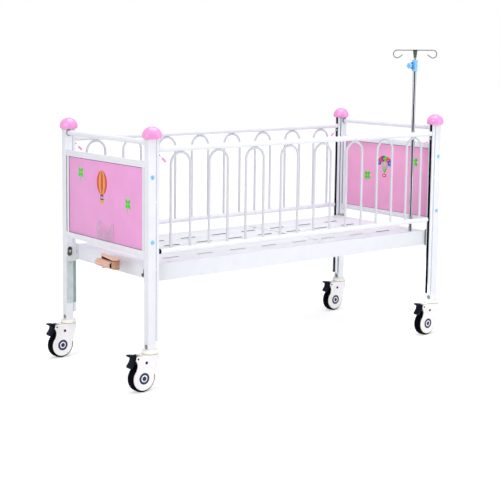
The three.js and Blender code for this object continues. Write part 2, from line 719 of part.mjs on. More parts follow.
function apron(side) {
  const web = [side * (FRAME_HALF_WIDTH - FRAME_SHEET), side * FRAME_HALF_WIDTH];
  const flange = [side * (FRAME_HALF_WIDTH - FRAME_FLANGE), side * FRAME_HALF_WIDTH];
  const length = [-FRAME_HALF_LENGTH, FRAME_HALF_LENGTH];
  const body = join(
    block(length, web, [FRAME_BOTTOM, FRAME_TOP]),
    block(length, flange, [FRAME_TOP - FRAME_SHEET, FRAME_TOP]),
    block(length, flange, [FRAME_BOTTOM, FRAME_BOTTOM + FRAME_SHEET]),
  );
  const holes = [-SOCKET_X, SOCKET_X].map((x) => cylinder(
    'z', SOCKET_DIAMETER / 2 + GAP, [FRAME_BOTTOM - BEYOND, FRAME_TOP + BEYOND], [x, side * SOCKET_Y],
  ));
  return cut(body, ...holes);
}

function endBeam(side) {
  const webHalf = FRAME_HALF_WIDTH - FRAME_SHEET - GAP;
  const flangeHalf = FRAME_HALF_WIDTH - FRAME_FLANGE - GAP;
  const web = [side * (FRAME_HALF_LENGTH - FRAME_SHEET), side * FRAME_HALF_LENGTH];
  const webZ = [FRAME_BOTTOM + FRAME_SHEET + GAP, FRAME_TOP - FRAME_SHEET - GAP];
  const flange = [side * (FRAME_HALF_LENGTH - FRAME_FLANGE), side * FRAME_HALF_LENGTH];
  return join(
    block(web, [-webHalf, webHalf], webZ),
    block(web, [-flangeHalf, flangeHalf], [FRAME_BOTTOM, FRAME_TOP]),
    block(flange, [-flangeHalf, flangeHalf], [FRAME_TOP - FRAME_SHEET, FRAME_TOP]),
    block(flange, [-flangeHalf, flangeHalf], [FRAME_BOTTOM, FRAME_BOTTOM + FRAME_SHEET]),
  );
}

function footBeam() {
  const room = SCREW_DIAMETER / 2 + SCREW_CLEARANCE + BUSH_WALL + GAP;
  const through = [-FRAME_HALF_LENGTH - BEYOND, -FRAME_HALF_LENGTH + FRAME_SHEET + BEYOND];
  const bore = cylinder('x', room, through, [CRANK_Y, CRANK_HEIGHT]);
  return cut(endBeam(-1), bore);
}

// A tube under the fixed deck section: its middle carries the sheet, its ends go under the apron flanges
function crossMember() {
  const x = [CROSS_MEMBER_X - CROSS_MEMBER_WIDTH / 2, CROSS_MEMBER_X + CROSS_MEMBER_WIDTH / 2];
  const low = FRAME_TOP - CROSS_MEMBER_HEIGHT;
  const webHalf = FRAME_HALF_WIDTH - FRAME_SHEET - GAP;
  const flangeHalf = FRAME_HALF_WIDTH - FRAME_FLANGE - GAP;
  const body = join(
    block(x, [-flangeHalf, flangeHalf], [low, FRAME_TOP]),
    block(x, [-webHalf, webHalf], [low, FRAME_TOP - FRAME_SHEET - GAP]),
  );
  const hollow = block(
    [x[0] + FRAME_SHEET, x[1] - FRAME_SHEET],
    [-webHalf - BEYOND, webHalf + BEYOND],
    [low + FRAME_SHEET, FRAME_TOP - 2 * FRAME_SHEET - GAP],
  );
  return cut(body, hollow);
}

function cornerBracket(sideX, sideY) {
  const postFace = POST_Y - POST_SIDE / 2 - GAP;
  const near = FRAME_HALF_LENGTH + GAP;
  const far = POST_X + POST_SIDE / 2 - BRACKET_INSET;
  const low = FRAME_BOTTOM + (FRAME_HEIGHT - BRACKET_HEIGHT) / 2;
  const x = sideX > 0 ? [near, far] : [-far, -near];
  const plate = roundedRectangle(x, [low, low + BRACKET_HEIGHT], BRACKET_CORNER);
  const y = [postFace - BRACKET_THICKNESS, postFace];
  const tabX = [sideX * near, sideX * (near + BRACKET_THICKNESS)];
  const tabY = [sideY * (postFace - BRACKET_TAB), sideY * (postFace - BRACKET_THICKNESS / 2)];
  return join(
    plateXZ(plate, sideY > 0 ? y : [-y[1], -y[0]], { segments: 3 }),
    block(tabX, tabY, [low + BRACKET_CORNER, low + BRACKET_HEIGHT - BRACKET_CORNER]),
  );
}

function poleSocket() {
  const top = FRAME_TOP + SOCKET_PROUD;
  const low = top - SOCKET_LENGTH;
  const body = cylinder('z', SOCKET_DIAMETER / 2, [low, top], [0, 0]);
  const bore = POLE_DIAMETER / 2 + POLE_CLEARANCE;
  return cut(body, cylinder('z', bore, [low + SOCKET_FLOOR, top + BEYOND], [0, 0]));
}

// Deck sections: slotted sheets with stiffening ribs underneath

function deckSheet([x0, x1]) {
  const sheet = roundedRectangle([x0, x1], [-DECK_HALF_WIDTH, DECK_HALF_WIDTH], DECK_CORNER);
  const end = SLOT_WIDTH / 2;
  const half = SLOT_LENGTH / 2;
  const pitchY = (2 * DECK_HALF_WIDTH - SLOT_FRONT_MARGIN - SLOT_BACK_MARGIN) / (SLOT_ROWS - 1);
  for (let x = -FRAME_HALF_LENGTH + SLOT_END_MARGIN; x + half < x1 - end; x += SLOT_PITCH_X) {
    const fits = x - half > x0 + end;
    for (let row = 0; fits && row < SLOT_ROWS; row += 1) {
      const y = -DECK_HALF_WIDTH + SLOT_FRONT_MARGIN + row * pitchY;
      sheet.holes.push(roundedRectangle([x - half, x + half], [y - end, y + end], end));
    }
  }
  return plateXY(sheet, [DECK_TOP - DECK_SHEET, DECK_TOP], 2);
}

function ribs([x0, x1]) {
  const top = DECK_TOP - DECK_SHEET / 2;
  const height = [DECK_TOP - DECK_SHEET - RIB_DEPTH, top];
  return [-1, 1].map((side) => block(
    [x0, x1], [side * (RIB_OFFSET_Y - RIB_WIDTH / 2), side * (RIB_OFFSET_Y + RIB_WIDTH / 2)], height,
  ));
}

function fixedDeck() {
  const foot = -FRAME_HALF_LENGTH + FRAME_FLANGE - DECK_BEARING;
  const head = HINGE_X - DECK_SPLIT_FOOT;
  const ribStart = -FRAME_HALF_LENGTH + FRAME_FLANGE + GAP;
  const beforeMember = CROSS_MEMBER_X - CROSS_MEMBER_WIDTH / 2 - GAP;
  const afterMember = CROSS_MEMBER_X + CROSS_MEMBER_WIDTH / 2 + GAP;
  const ribEnd = head - HINGE_TUBE_DIAMETER;
  return join(deckSheet([foot, head]), ...ribs([ribStart, beforeMember]), ...ribs([afterMember, ribEnd]));
}

// A knuckle of the backrest: a ring round the hinge tube with a foot that reaches up to the sheet
function knuckle(y) {
  const bore = HINGE_TUBE_DIAMETER / 2 + HINGE_CLEARANCE;
  const outer = bore + KNUCKLE_WALL;
  const width = [y - KNUCKLE_WIDTH / 2, y + KNUCKLE_WIDTH / 2];
  const sheetZ = DECK_TOP - DECK_SHEET / 2;
  const foot = new THREE.Shape();
  foot.moveTo(HINGE_X, HINGE_Z - outer);
  foot.lineTo(HINGE_X + outer, HINGE_Z - outer);
  foot.lineTo(HINGE_X + 4 * outer, sheetZ);
  foot.lineTo(HINGE_X + DECK_SPLIT_HEAD + KNUCKLE_WALL, sheetZ);
  foot.lineTo(HINGE_X, HINGE_Z + outer);
  const ring = cylinder('y', outer, width, [HINGE_X, HINGE_Z]);
  const through = [width[0] - BEYOND, width[1] + BEYOND];
  return cut(join(ring, plateXZ(foot, width)), cylinder('y', bore, through, [HINGE_X, HINGE_Z]));
}

function backrestDeck() {
  const foot = HINGE_X + DECK_SPLIT_HEAD;
  const head = FRAME_HALF_LENGTH - FRAME_FLANGE + DECK_BEARING;
  const ribEnd = FRAME_HALF_LENGTH - FRAME_FLANGE - GAP;
  const ribStart = foot + HINGE_TUBE_DIAMETER;
  return join(
    deckSheet([foot, head]),
    ...ribs([ribStart, ribEnd]),
    knuckle(-KNUCKLE_OFFSET_Y),
    knuckle(KNUCKLE_OFFSET_Y),
  );
}

// Slotted lever: two plates on the hinge tube, joined by a foot under the backrest sheet
function backrestLever() {
  const bore = HINGE_TUBE_DIAMETER / 2 + HINGE_CLEARANCE;
  const slotHalf = LIFT_PIN_DIAMETER / 2 + LIFT_PIN_PLAY;
  const near = LEVER_DROP - LIFT_PIN_PLAY;
  const far = LEVER_DROP / Math.cos(HALF_TILT) + LIFT_PIN_PLAY;
  const edge = slotHalf + LEVER_EDGE;
  const footTop = DECK_TOP - DECK_SHEET - GAP;
  const arm = new THREE.Shape();
  arm.absarc(0, 0, bore + LEVER_EYE_WALL, 0, Math.PI);
  arm.absarc(0, -far, edge, Math.PI, 2 * Math.PI);
  const slot = new THREE.Path();
  slot.absarc(0, -near, slotHalf, 0, Math.PI);
  slot.absarc(0, -far, slotHalf, Math.PI, 2 * Math.PI);
  arm.holes.push(slot);
  const heel = new THREE.Shape();
  heel.moveTo(HINGE_X, HINGE_Z - bore - LEVER_EYE_WALL);
  heel.lineTo(HINGE_X + LEVER_FOOT, footTop - LEVER_PLATE);
  heel.lineTo(HINGE_X + LEVER_FOOT, footTop);
  heel.lineTo(HINGE_X + DECK_SPLIT_HEAD + LEVER_PLATE, footTop);
  heel.lineTo(HINGE_X, HINGE_Z + bore + LEVER_EYE_WALL);
  const solids = [-1, 1].map((side) => {
    const inner = side * LEVER_HALF_GAP;
    const outer = side * (LEVER_HALF_GAP + LEVER_PLATE);
    const y = [Math.min(inner, outer) + CRANK_Y, Math.max(inner, outer) + CRANK_Y];
    const swung = plateXZ(arm, y, { segments: 8 });
    swung.rotateY(HALF_TILT).translate(HINGE_X, 0, HINGE_Z);
    return join(swung, plateXZ(heel, y));
  });
  const outerY = LEVER_HALF_GAP + LEVER_PLATE;
  const foot = block(
    [HINGE_X + 2 * DECK_SPLIT_HEAD, HINGE_X + LEVER_FOOT],
    [CRANK_Y - outerY, CRANK_Y + outerY],
    [footTop - LEVER_PLATE, footTop],
  );
  const through = [CRANK_Y - outerY - BEYOND, CRANK_Y + outerY + BEYOND];
  return cut(join(...solids, foot), cylinder('y', bore, through, [HINGE_X, HINGE_Z]));
}

// Lift screw, nut and push tube lie along X at the crank's place

function crankScrew() {
  const end = NUT_REST_X + NUT_LENGTH / 2 + LIFT_TRAVEL + SCREW_TAIL;
  const shaft = cylinder('x', SCREW_DIAMETER / 2, [CRANK_FACE, end], [CRANK_Y, CRANK_HEIGHT]);
  const collarRadius = SCREW_DIAMETER / 2 + BUSH_WALL;
  const collarStart = -FRAME_HALF_LENGTH - BUSH_FLANGE + BUSH_LENGTH + GAP;
  const collar = cylinder('x', collarRadius, [collarStart, collarStart + BUSH_WALL], [CRANK_Y, CRANK_HEIGHT]);
  return join(shaft, collar);
}

function crankBush() {
  const bore = SCREW_DIAMETER / 2 + SCREW_CLEARANCE;
  const start = -FRAME_HALF_LENGTH - GAP;
  const at = [CRANK_Y, CRANK_HEIGHT];
  const body = cylinder('x', bore + BUSH_WALL, [start - BUSH_FLANGE, start - BUSH_FLANGE + BUSH_LENGTH], at);
  const flange = cylinder('x', bore + 2 * BUSH_WALL, [start - BUSH_FLANGE, start], at);
  const through = [start - BUSH_FLANGE - BEYOND, start + BUSH_LENGTH];
  return cut(join(body, flange), cylinder('x', bore, through, at));
}

function liftNut() {
  const x = [NUT_REST_X - NUT_LENGTH / 2, NUT_REST_X + NUT_LENGTH / 2];
  const half = NUT_SIDE / 2;
  const body = block(x, [CRANK_Y - half, CRANK_Y + half], [CRANK_HEIGHT - half, CRANK_HEIGHT + half]);
  const bore = SCREW_DIAMETER / 2 + SCREW_CLEARANCE;
  return cut(body, cylinder('x', bore, [x[0] - BEYOND, x[1] + BEYOND], [CRANK_Y, CRANK_HEIGHT]));
}

// The push tube starts at the nut, round the screw, and ends in an ear that holds the lift pin
function pushTube() {
  const pinX = HINGE_X - LIFT_TRAVEL / 2;
  const pinZ = HINGE_Z - LEVER_DROP;
  const start = NUT_REST_X + NUT_LENGTH / 2 + GAP;
  const tube = pipe('x', PUSH_TUBE_DIAMETER / 2, PUSH_TUBE_WALL, [start, pinX], [CRANK_Y, CRANK_HEIGHT]);
  const earTop = CRANK_HEIGHT;
  const ear = roundedRectangle(
    [pinX - PUSH_EAR_WIDTH / 2, pinX + PUSH_EAR_WIDTH / 2],
    [pinZ - PUSH_EAR_WIDTH / 2, earTop],
    PUSH_EAR_WIDTH / 2 - WELD_OVERLAP,
  );
  const earHalf = LEVER_HALF_GAP - PUSH_EAR_PLAY;
  const pinHalf = LEVER_HALF_GAP + LEVER_PLATE + LIFT_PIN_END;
  return join(
    tube,
    plateXZ(ear, [CRANK_Y - earHalf, CRANK_Y + earHalf], { segments: 4 }),
    cylinder('y', LIFT_PIN_DIAMETER / 2, [CRANK_Y - pinHalf, CRANK_Y + pinHalf], [pinX, pinZ]),
  );
}

// Crank: the arm runs from the shaft to a boss, and the grip folds in the boss

function crankBoss() {
  const armTop = CRANK_HEIGHT + CRANK_ARM_RISE + CRANK_ARM_HEIGHT / 2;
  const gripClear = GRIP_ARM_GAP + GRIP_DIAMETER / 2;
  const gripZ = armTop - CRANK_ARM_HEIGHT - gripClear;
  const x = CRANK_FACE - CRANK_ARM_DEPTH - gripClear;
  const y = CRANK_Y - CRANK_ARM_LENGTH;
  return { x, y, armTop, gripZ };
}

function crankArm() {
  const { x, y, armTop, gripZ } = crankBoss();
  const depth = [CRANK_FACE - CRANK_ARM_DEPTH, CRANK_FACE];
  const hubDepth = [depth[0], depth[0] + CRANK_HUB_LENGTH];
  const armLow = armTop - CRANK_ARM_HEIGHT;
  const armEnd = CRANK_Y + CRANK_HUB_RADIUS;
  const armOutline = roundedRectangle([y, armEnd], [armLow, armTop], CRANK_ARM_CORNER);
  const plate = plateYZ(armOutline, depth, 4);
  const lip = new THREE.Shape();
  lip.moveTo(CRANK_FACE, armEnd - CRANK_ARM_HEIGHT / 2);
  lip.lineTo(CRANK_FACE - 2 * CRANK_ARM_DEPTH, armEnd - CRANK_ARM_HEIGHT / 2);
  lip.absarc(x, y, CRANK_BOSS_RADIUS, Math.PI, 2 * Math.PI);
  lip.lineTo(CRANK_FACE, y);
  const hub = cylinder('x', CRANK_HUB_RADIUS, hubDepth, [CRANK_Y, CRANK_HEIGHT], ROUND_SIDES);
  const neck = block(
    depth, [CRANK_Y - CRANK_HUB_RADIUS, armEnd - CRANK_ARM_HEIGHT / 2], [CRANK_HEIGHT, armLow + WELD_OVERLAP],
  );
  const bossLow = gripZ - GRIP_TONGUE_THICKNESS / 2 - GAP - CRANK_BOSS_FLOOR;
  const boss = cylinder('z', CRANK_BOSS_RADIUS, [bossLow, armTop], [x, y], ROUND_SIDES);
  const slotHalf = GRIP_TONGUE_THICKNESS / 2 + GAP;
  const slotZ = [gripZ - slotHalf, gripZ + slotHalf];
  const slot = cylinder('z', CRANK_BOSS_RADIUS + BEYOND, slotZ, [x, y], ROUND_SIDES);
  const pinZ = [bossLow + CRANK_PIN_COVER, armTop - CRANK_PIN_COVER];
  const pin = cylinder('z', CRANK_PIN_DIAMETER / 2, pinZ, [x, y]);
  const body = cut(join(plate, plateXY(lip, [armTop - CRANK_LIP, armTop]), hub, neck, boss), slot);
  const shaftRoom = cylinder(
    'x', SCREW_DIAMETER / 2 + GAP, [CRANK_FACE - GAP, hubDepth[1] + BEYOND], [CRANK_Y, CRANK_HEIGHT],
  );
  return cut(join(body, pin), shaftRoom);
}

function crankGrip() {
  const { x, y, gripZ } = crankBoss();
  const start = y + CRANK_BOSS_RADIUS + GRIP_NECK;
  const outline = new THREE.Shape();
  const points = 4 * GRIP_RIBS;
  for (let i = 0; i < points; i += 1) {
    const angle = (2 * Math.PI * i) / points;
    const radius = GRIP_DIAMETER / 2 - (i % 4 === 0 ? GRIP_RIB_DEPTH : 0);
    const place = [x + radius * Math.cos(angle), gripZ + radius * Math.sin(angle)];
    if (i === 0) outline.moveTo(...place);
    else outline.lineTo(...place);
  }
  const handle = plateXZ(outline, [start, start + GRIP_LENGTH], { edge: GRIP_EDGE });
  const tongueHalf = GRIP_TONGUE_THICKNESS / 2;
  const height = [gripZ - tongueHalf, gripZ + tongueHalf];
  const eye = cylinder('z', GRIP_EYE_RADIUS, height, [x, y]);
  const tongueX = [x - GRIP_TONGUE_WIDTH / 2, x + GRIP_TONGUE_WIDTH / 2];
  const tongue = block(tongueX, [y, start + GRIP_TONGUE_ROOT], height);
  const pinRoom = CRANK_PIN_DIAMETER / 2 + CRANK_PIN_CLEARANCE;
  const through = [height[0] - BEYOND, height[1] + BEYOND];
  return cut(join(handle, eye, tongue), cylinder('z', pinRoom, through, [x, y]));
}

// Drop rails: drawn in the plane Y = 0 and placed between the posts

function archStations(x) {
  const radius = ARCH_PITCH / 4;
  const crown = RAIL_TOP - RAIL_TUBE_DIAMETER / 2 + WELD_OVERLAP - ARCH_ROD_DIAMETER / 2;
  const foot = RAIL_BOTTOM + RAIL_TUBE_DIAMETER / 2 - RAIL_TUBE_WALL / 2;
  return [
    new THREE.Vector3(x + radius, 0, foot),
    ...arcStations([x, crown - radius], radius, [0, Math.PI], 8),
    new THREE.Vector3(x - radius, 0, foot),
  ];
}

// A shoe runs inside the guide channel, and a tongue through the slot ties it to the rail
function railShoe(side, tubeEnd, height, length) {
  const cavity = CHANNEL_FACE + CHANNEL_WALL;
  const back = CHANNEL_FACE + CHANNEL_DEPTH;
  const shoeHalf = CHANNEL_WIDTH / 2 - CHANNEL_WALL - SHOE_CLEARANCE;
  const shoe = block(
    [side * (cavity + SHOE_CLEARANCE), side * (back - SHOE_CLEARANCE)], [-shoeHalf, shoeHalf],
    [height - length + TONGUE_HEIGHT / 2, height + TONGUE_HEIGHT / 2],
  );
  const tongue = block(
    [side * (tubeEnd - TONGUE_HEIGHT), side * (cavity + SHOE_CLEARANCE + WELD_OVERLAP)],
    [-TONGUE_THICKNESS / 2, TONGUE_THICKNESS / 2],
    [height - TONGUE_HEIGHT / 2, height + TONGUE_HEIGHT / 2],
  );
  return [shoe, tongue];
}

// Two ears on the upper shoe carry the latch pin in front of the slot
function latchEars(side) {
  const pinX = CHANNEL_FACE - LATCH_STAND_OFF;
  const pinZ = RAIL_TOP - LATCH_DROP;
  const far = CHANNEL_FACE + CHANNEL_WALL + SHOE_CLEARANCE + WELD_OVERLAP;
  const inner = LATCH_EYE_THICKNESS / 2 + GAP;
  const outer = inner + LATCH_EAR_THICKNESS;
  const ears = [-1, 1].map((face) => block(
    [side * (pinX - LATCH_EYE_RADIUS), side * far],
    [face * inner, face * outer],
    [pinZ - LATCH_EYE_RADIUS, pinZ + LATCH_EYE_RADIUS],
  ));
  const pin = cylinder('y', LATCH_PIN_DIAMETER / 2, [-outer, outer], [side * pinX, pinZ]);
  return [...ears, pin];
}

function dropRail() {
  const radius = RAIL_TUBE_DIAMETER / 2;
  const topEnd = CHANNEL_FACE - RAIL_TOP_END_GAP;
  const bottomEnd = CHANNEL_FACE - RAIL_BOTTOM_END_GAP;
  const pieces = [
    pipe('x', radius, RAIL_TUBE_WALL, [-topEnd, topEnd], [0, RAIL_TOP]),
    pipe('x', radius, RAIL_TUBE_WALL, [-bottomEnd, bottomEnd], [0, RAIL_BOTTOM]),
  ];
  for (let i = 0; i < ARCH_COUNT; i += 1) {
    pieces.push(bar(archStations((i - (ARCH_COUNT - 1) / 2) * ARCH_PITCH), ARCH_ROD_DIAMETER));
  }
  for (const side of [-1, 1]) {
    pieces.push(...railShoe(side, topEnd, RAIL_TOP, SHOE_TOP_LENGTH));
    pieces.push(...railShoe(side, bottomEnd, RAIL_BOTTOM, SHOE_BOTTOM_LENGTH));
    pieces.push(...latchEars(side));
  }
  return join(...pieces);
}

// Latch lever: an eye on the pin, a thin rod and a fat tip, sloping down towards the middle of the rail
function latchLever(side) {
  const pin = new THREE.Vector3(side * (CHANNEL_FACE - LATCH_STAND_OFF), 0, RAIL_TOP - LATCH_DROP);
  const along = new THREE.Vector3(-side * Math.cos(LATCH_SLOPE), 0, -Math.sin(LATCH_SLOPE));
  const at = (distance) => pin.clone().addScaledVector(along, distance);
  const half = LATCH_EYE_THICKNESS / 2;
  const eye = cylinder('y', LATCH_EYE_RADIUS, [-half, half], [pin.x, pin.z]);
  const rodEnds = [at(LATCH_EYE_RADIUS - WELD_OVERLAP), at(LATCH_ROD_LENGTH + WELD_OVERLAP)];
  const rod = bar(rodEnds, LATCH_ROD_DIAMETER);
  const end = LATCH_ROD_LENGTH + LATCH_TIP_LENGTH;
  const tip = bar([at(LATCH_ROD_LENGTH), at(end)], LATCH_TIP_DIAMETER, 12);
  const room = LATCH_PIN_DIAMETER / 2 + LATCH_PIN_CLEARANCE;
  return cut(join(eye, rod, tip), cylinder('y', room, [-half - BEYOND, half + BEYOND], [pin.x, pin.z]));
}

function addRail(cot, name, y) {
  const group = addGroup(cot, 0, y);
  addPart(group, `${name}_rail`, 'whitePaint', dropRail());
  addPart(group, `${name}_latch_foot`, 'pinkPlastic', latchLever(-1));
  addPart(group, `${name}_latch_head`, 'pinkPlastic', latchLever(1));
}

// Drip pole: drawn on the axis X = Y = 0 of its socket

function poleTube() {
  const low = FRAME_TOP + SOCKET_PROUD - SOCKET_LENGTH + SOCKET_FLOOR + GAP;
  return join(pipe('z', POLE_DIAMETER / 2, POLE_WALL, [low, POLE_TOP], [0, 0]));
}

function hookStations(side) {
  const centre = [side * HOOK_HALF_SPAN, hookHeight() - HOOK_CURL_RADIUS];
  const sweep = [Math.PI / 2, Math.PI / 2 - side * HOOK_CURL_TURN];
  const curl = arcStations(centre, HOOK_CURL_RADIUS, sweep, 10);
  const tipX = side * (HOOK_HALF_SPAN - HOOK_TIP_REACH);
  const tip = new THREE.Vector3(tipX, 0, centre[1] - HOOK_WIRE_DIAMETER / 2);
  return [...curl, tip];
}

function hookHeight() {
  return CLAMP_BOTTOM + CLAMP_HEIGHT + ROD_SHOWN_LENGTH - HOOK_WIRE_DIAMETER / 2;
}

// The inner rod ends in a cone, and one bent wire through the cone makes both hooks
function hookRod() {
  const top = CLAMP_BOTTOM + CLAMP_HEIGHT + ROD_SHOWN_LENGTH;
  const rodZ = [POLE_TOP - ROD_HIDDEN_LENGTH, top - CONE_HEIGHT + WELD_OVERLAP];
  const rod = cylinder('z', ROD_DIAMETER / 2, rodZ, [0, 0]);
  const cone = revolve([
    new THREE.Vector2(0, top - CONE_HEIGHT),
    new THREE.Vector2(ROD_DIAMETER / 2 + WELD_OVERLAP, top - CONE_HEIGHT),
    new THREE.Vector2(CONE_TOP_DIAMETER / 2, top - HOOK_WIRE_DIAMETER),
    new THREE.Vector2(CONE_TOP_DIAMETER / 2, top),
    new THREE.Vector2(0, top),
  ], TUBE_SIDES);
  const wire = bar([...hookStations(-1).reverse(), ...hookStations(1)], HOOK_WIRE_DIAMETER);
  return join(rod, cone, wire);
}

function poleClamp() {
  const top = CLAMP_BOTTOM + CLAMP_HEIGHT;
  const sleeve = cylinder('z', CLAMP_RADIUS, [CLAMP_BOTTOM, top], [0, 0], ROUND_SIDES);
  const lugLow = CLAMP_BOTTOM + (CLAMP_HEIGHT - CLAMP_LUG_HEIGHT) / 2;
  const lug = block(
    [-CLAMP_LUG, 0], [-CLAMP_LUG_WIDTH / 2, CLAMP_LUG_WIDTH / 2], [lugLow, lugLow + CLAMP_LUG_HEIGHT],
  );
  const tubeRoom = cylinder('z', POLE_DIAMETER / 2 + GAP, [CLAMP_BOTTOM - BEYOND, POLE_TOP + GAP], [0, 0]);
  const rodRoom = cylinder('z', ROD_DIAMETER / 2 + ROD_CLEARANCE, [CLAMP_BOTTOM, top + BEYOND], [0, 0]);
  const stemX = [-CLAMP_LUG - BEYOND, -CLAMP_LUG + KNOB_STEM_DEPTH + GAP];
  const stemRoom = cylinder('x', KNOB_STEM_DIAMETER / 2 + GAP, stemX, [0, CLAMP_BOTTOM + CLAMP_HEIGHT / 2]);
  return cut(join(sleeve, lug), tubeRoom, rodRoom, stemRoom);
}

// A lobed hand knob on a stem that screws into the clamp
function clampKnob() {
  const height = CLAMP_BOTTOM + CLAMP_HEIGHT / 2;
  const outline = new THREE.Shape();
  const points = 6 * KNOB_LOBES;
  for (let i = 0; i < points; i += 1) {
    const angle = (2 * Math.PI * i) / points;
    const radius = KNOB_RADIUS - (KNOB_LOBE * (1 - Math.cos(KNOB_LOBES * angle))) / 2;
    const place = [radius * Math.cos(angle), height + radius * Math.sin(angle)];
    if (i === 0) outline.moveTo(...place);
    else outline.lineTo(...place);
  }
  const face = -CLAMP_LUG - KNOB_STEM_LENGTH;
  const head = plateYZ(outline, [face - KNOB_THICKNESS, face]);
  const stemX = [face - WELD_OVERLAP, -CLAMP_LUG + KNOB_STEM_DEPTH];
  const stem = cylinder('x', KNOB_STEM_DIAMETER / 2, stemX, [0, height]);
  return join(head, stem);
}

function addDripPole(cot) {
  const pole = addGroup(cot, SOCKET_X, -SOCKET_Y);
  addPart(pole, 'drip_pole_tube', 'steel', poleTube());
  addPart(pole, 'drip_pole_clamp', 'bluePlastic', poleClamp());
  addPart(pole, 'drip_clamp_knob', 'bluePlastic', clampKnob());
  addPart(pole, 'drip_hook_rod', 'steel', hookRod()).rotation.z = HOOK_TURN;
}

// The whole cot

function buildCot() {
  const cot = new THREE.Group();
  cot.name = 'pediatric_hospital_cot';
  cot.position.x = ORIGIN_SHIFT_X;
  for (const [row, sideY] of [['front', -1], ['back', 1]]) {
    for (const [end, sideX] of [['foot', -1], ['head', 1]]) {
      const corner = `${row}_${end}`;
      addPost(cot, corner, sideX * POST_X, sideY * POST_Y, -sideX);
      addCastor(cot, corner, sideX * POST_X, sideY * POST_Y);
      addPart(cot, `corner_bracket_${corner}`, 'zinc', cornerBracket(sideX, sideY));
      const socket = addPart(cot, `pole_socket_${corner}`, 'whitePaint', poleSocket());
      socket.position.set(sideX * SOCKET_X, sideY * SOCKET_Y, 0);
    }
    addPart(cot, `${row}_apron`, 'whitePaint', apron(sideY));
    addRail(cot, row, sideY * POST_Y);
  }
  addEndBoard(cot, 'foot', -1);
  addEndBoard(cot, 'head', 1);
  addPart(cot, 'chart_holder', 'clear', chartHolder());
  addPart(cot, 'foot_beam', 'whitePaint', footBeam());
  addPart(cot, 'head_beam', 'whitePaint', endBeam(1));
  addPart(cot, 'deck_cross_member', 'whitePaint', crossMember());
  const webFace = FRAME_HALF_WIDTH - FRAME_SHEET - GAP;
  addPart(cot, 'hinge_tube', 'whitePaint', pipe(
    'y', HINGE_TUBE_DIAMETER / 2, HINGE_TUBE_WALL, [-webFace, webFace], [HINGE_X, HINGE_Z],
  ));
  addPart(cot, 'fixed_deck', 'whitePaint', fixedDeck());
  addPart(cot, 'backrest_deck', 'whitePaint', backrestDeck());
  addPart(cot, 'backrest_lever', 'zinc', backrestLever());
  addPart(cot, 'crank_screw', 'steel', crankScrew());
  addPart(cot, 'crank_bush', 'blackPlastic', crankBush());
  addPart(cot, 'lift_nut', 'zinc', liftNut());
  addPart(cot, 'push_tube', 'whitePaint', pushTube());
  addPart(cot, 'crank_arm', 'copperPlastic', crankArm());
  addPart(cot, 'crank_grip', 'copperPlastic', crankGrip());
  addDripPole(cot);
  return cot;
}

export default buildCot();
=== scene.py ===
import math
import bmesh
import bpy
from mathutils import Matrix, Vector


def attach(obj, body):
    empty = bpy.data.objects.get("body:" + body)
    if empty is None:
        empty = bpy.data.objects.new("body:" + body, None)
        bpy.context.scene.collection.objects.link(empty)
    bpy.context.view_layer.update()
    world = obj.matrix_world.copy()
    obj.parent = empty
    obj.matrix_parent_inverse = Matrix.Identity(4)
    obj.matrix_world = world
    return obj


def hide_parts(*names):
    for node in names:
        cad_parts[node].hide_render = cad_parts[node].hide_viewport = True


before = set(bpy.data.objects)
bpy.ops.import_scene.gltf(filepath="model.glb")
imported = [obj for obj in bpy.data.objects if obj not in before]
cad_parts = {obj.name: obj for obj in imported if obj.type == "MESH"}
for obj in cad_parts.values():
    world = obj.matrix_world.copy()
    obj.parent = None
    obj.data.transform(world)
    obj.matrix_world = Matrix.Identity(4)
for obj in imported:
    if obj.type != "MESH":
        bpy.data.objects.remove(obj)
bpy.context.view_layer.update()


# Sizes in mm: X counts from the middle between the end posts, which lies SHIFT from the frame's origin

SHIFT = 39.25


def reach(name):
    """Lowest and highest place of a CAD node along X, Y and Z."""
    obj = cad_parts[name]
    places = [1000 * (obj.matrix_world @ vertex.co) - Vector((SHIFT, 0, 0)) for vertex in obj.data.vertices]
    return [(round(min(axis), 2), round(max(axis), 2)) for axis in zip(*places)]


def middle(span):
    return (span[0] + span[1]) / 2


def half(span):
    return (span[1] - span[0]) / 2


ROWS = (("front", -1), ("back", 1))
ENDS = (("foot", -1), ("head", 1))
CORNERS = [(f"{row}_{end}", sx, sy) for row, sy in ROWS for end, sx in ENDS]

post_box = reach("post_back_head")
POST_HALF = half(post_box[1])
POST_X = post_box[0][1] - POST_HALF
POST_Y = middle(post_box[1])
POST_TOP = post_box[2][1]
POST_INNER = POST_X - POST_HALF
POST_SIDE = POST_Y - POST_HALF
CHANNEL_FACE = post_box[0][0]
CHANNEL_HALF = 13.5
CHANNEL_SPAN = (216.0, POST_TOP - 15)
FOOT_FACE = reach("foot_panel")[0][0]
HEAD_FACE = reach("head_panel")[0][0]
BEAM_FACE = reach("head_beam")[0][1]
DECK_TOP = reach("fixed_deck")[2][1]

rail_box = reach("back_rail")
RAIL_R = half(rail_box[1])
RAIL_TOP = rail_box[2][1] - RAIL_R
RAIL_BOTTOM = 607.0
ARCH_COUNT = 8
ARCH_PITCH = 207.6
ARCH_R = ARCH_PITCH / 4
ROD_R = 6.0
ARCH_CENTRE = RAIL_TOP - RAIL_R + 1.5 - ROD_R - ARCH_R
latch_box = reach("back_latch_head")
LATCH_EYE = 4.5
LATCH_X = latch_box[0][1] - LATCH_EYE
LATCH_Z = latch_box[2][1] - LATCH_EYE

# Castor places are counted from the post's middle
wheel_box = reach("castor_back_head_wheel")
AXLE = (middle(wheel_box[0]) - POST_X, middle(wheel_box[2]))
WHEEL_R = half(wheel_box[2])
WHEEL_HALF = half(wheel_box[1])
PEDAL_PIN = (-75.0, 153.0)
PEDAL_PAD, PAD_R = (-104.0, 120.0), 9.0
SHELL_TOP = 164.0

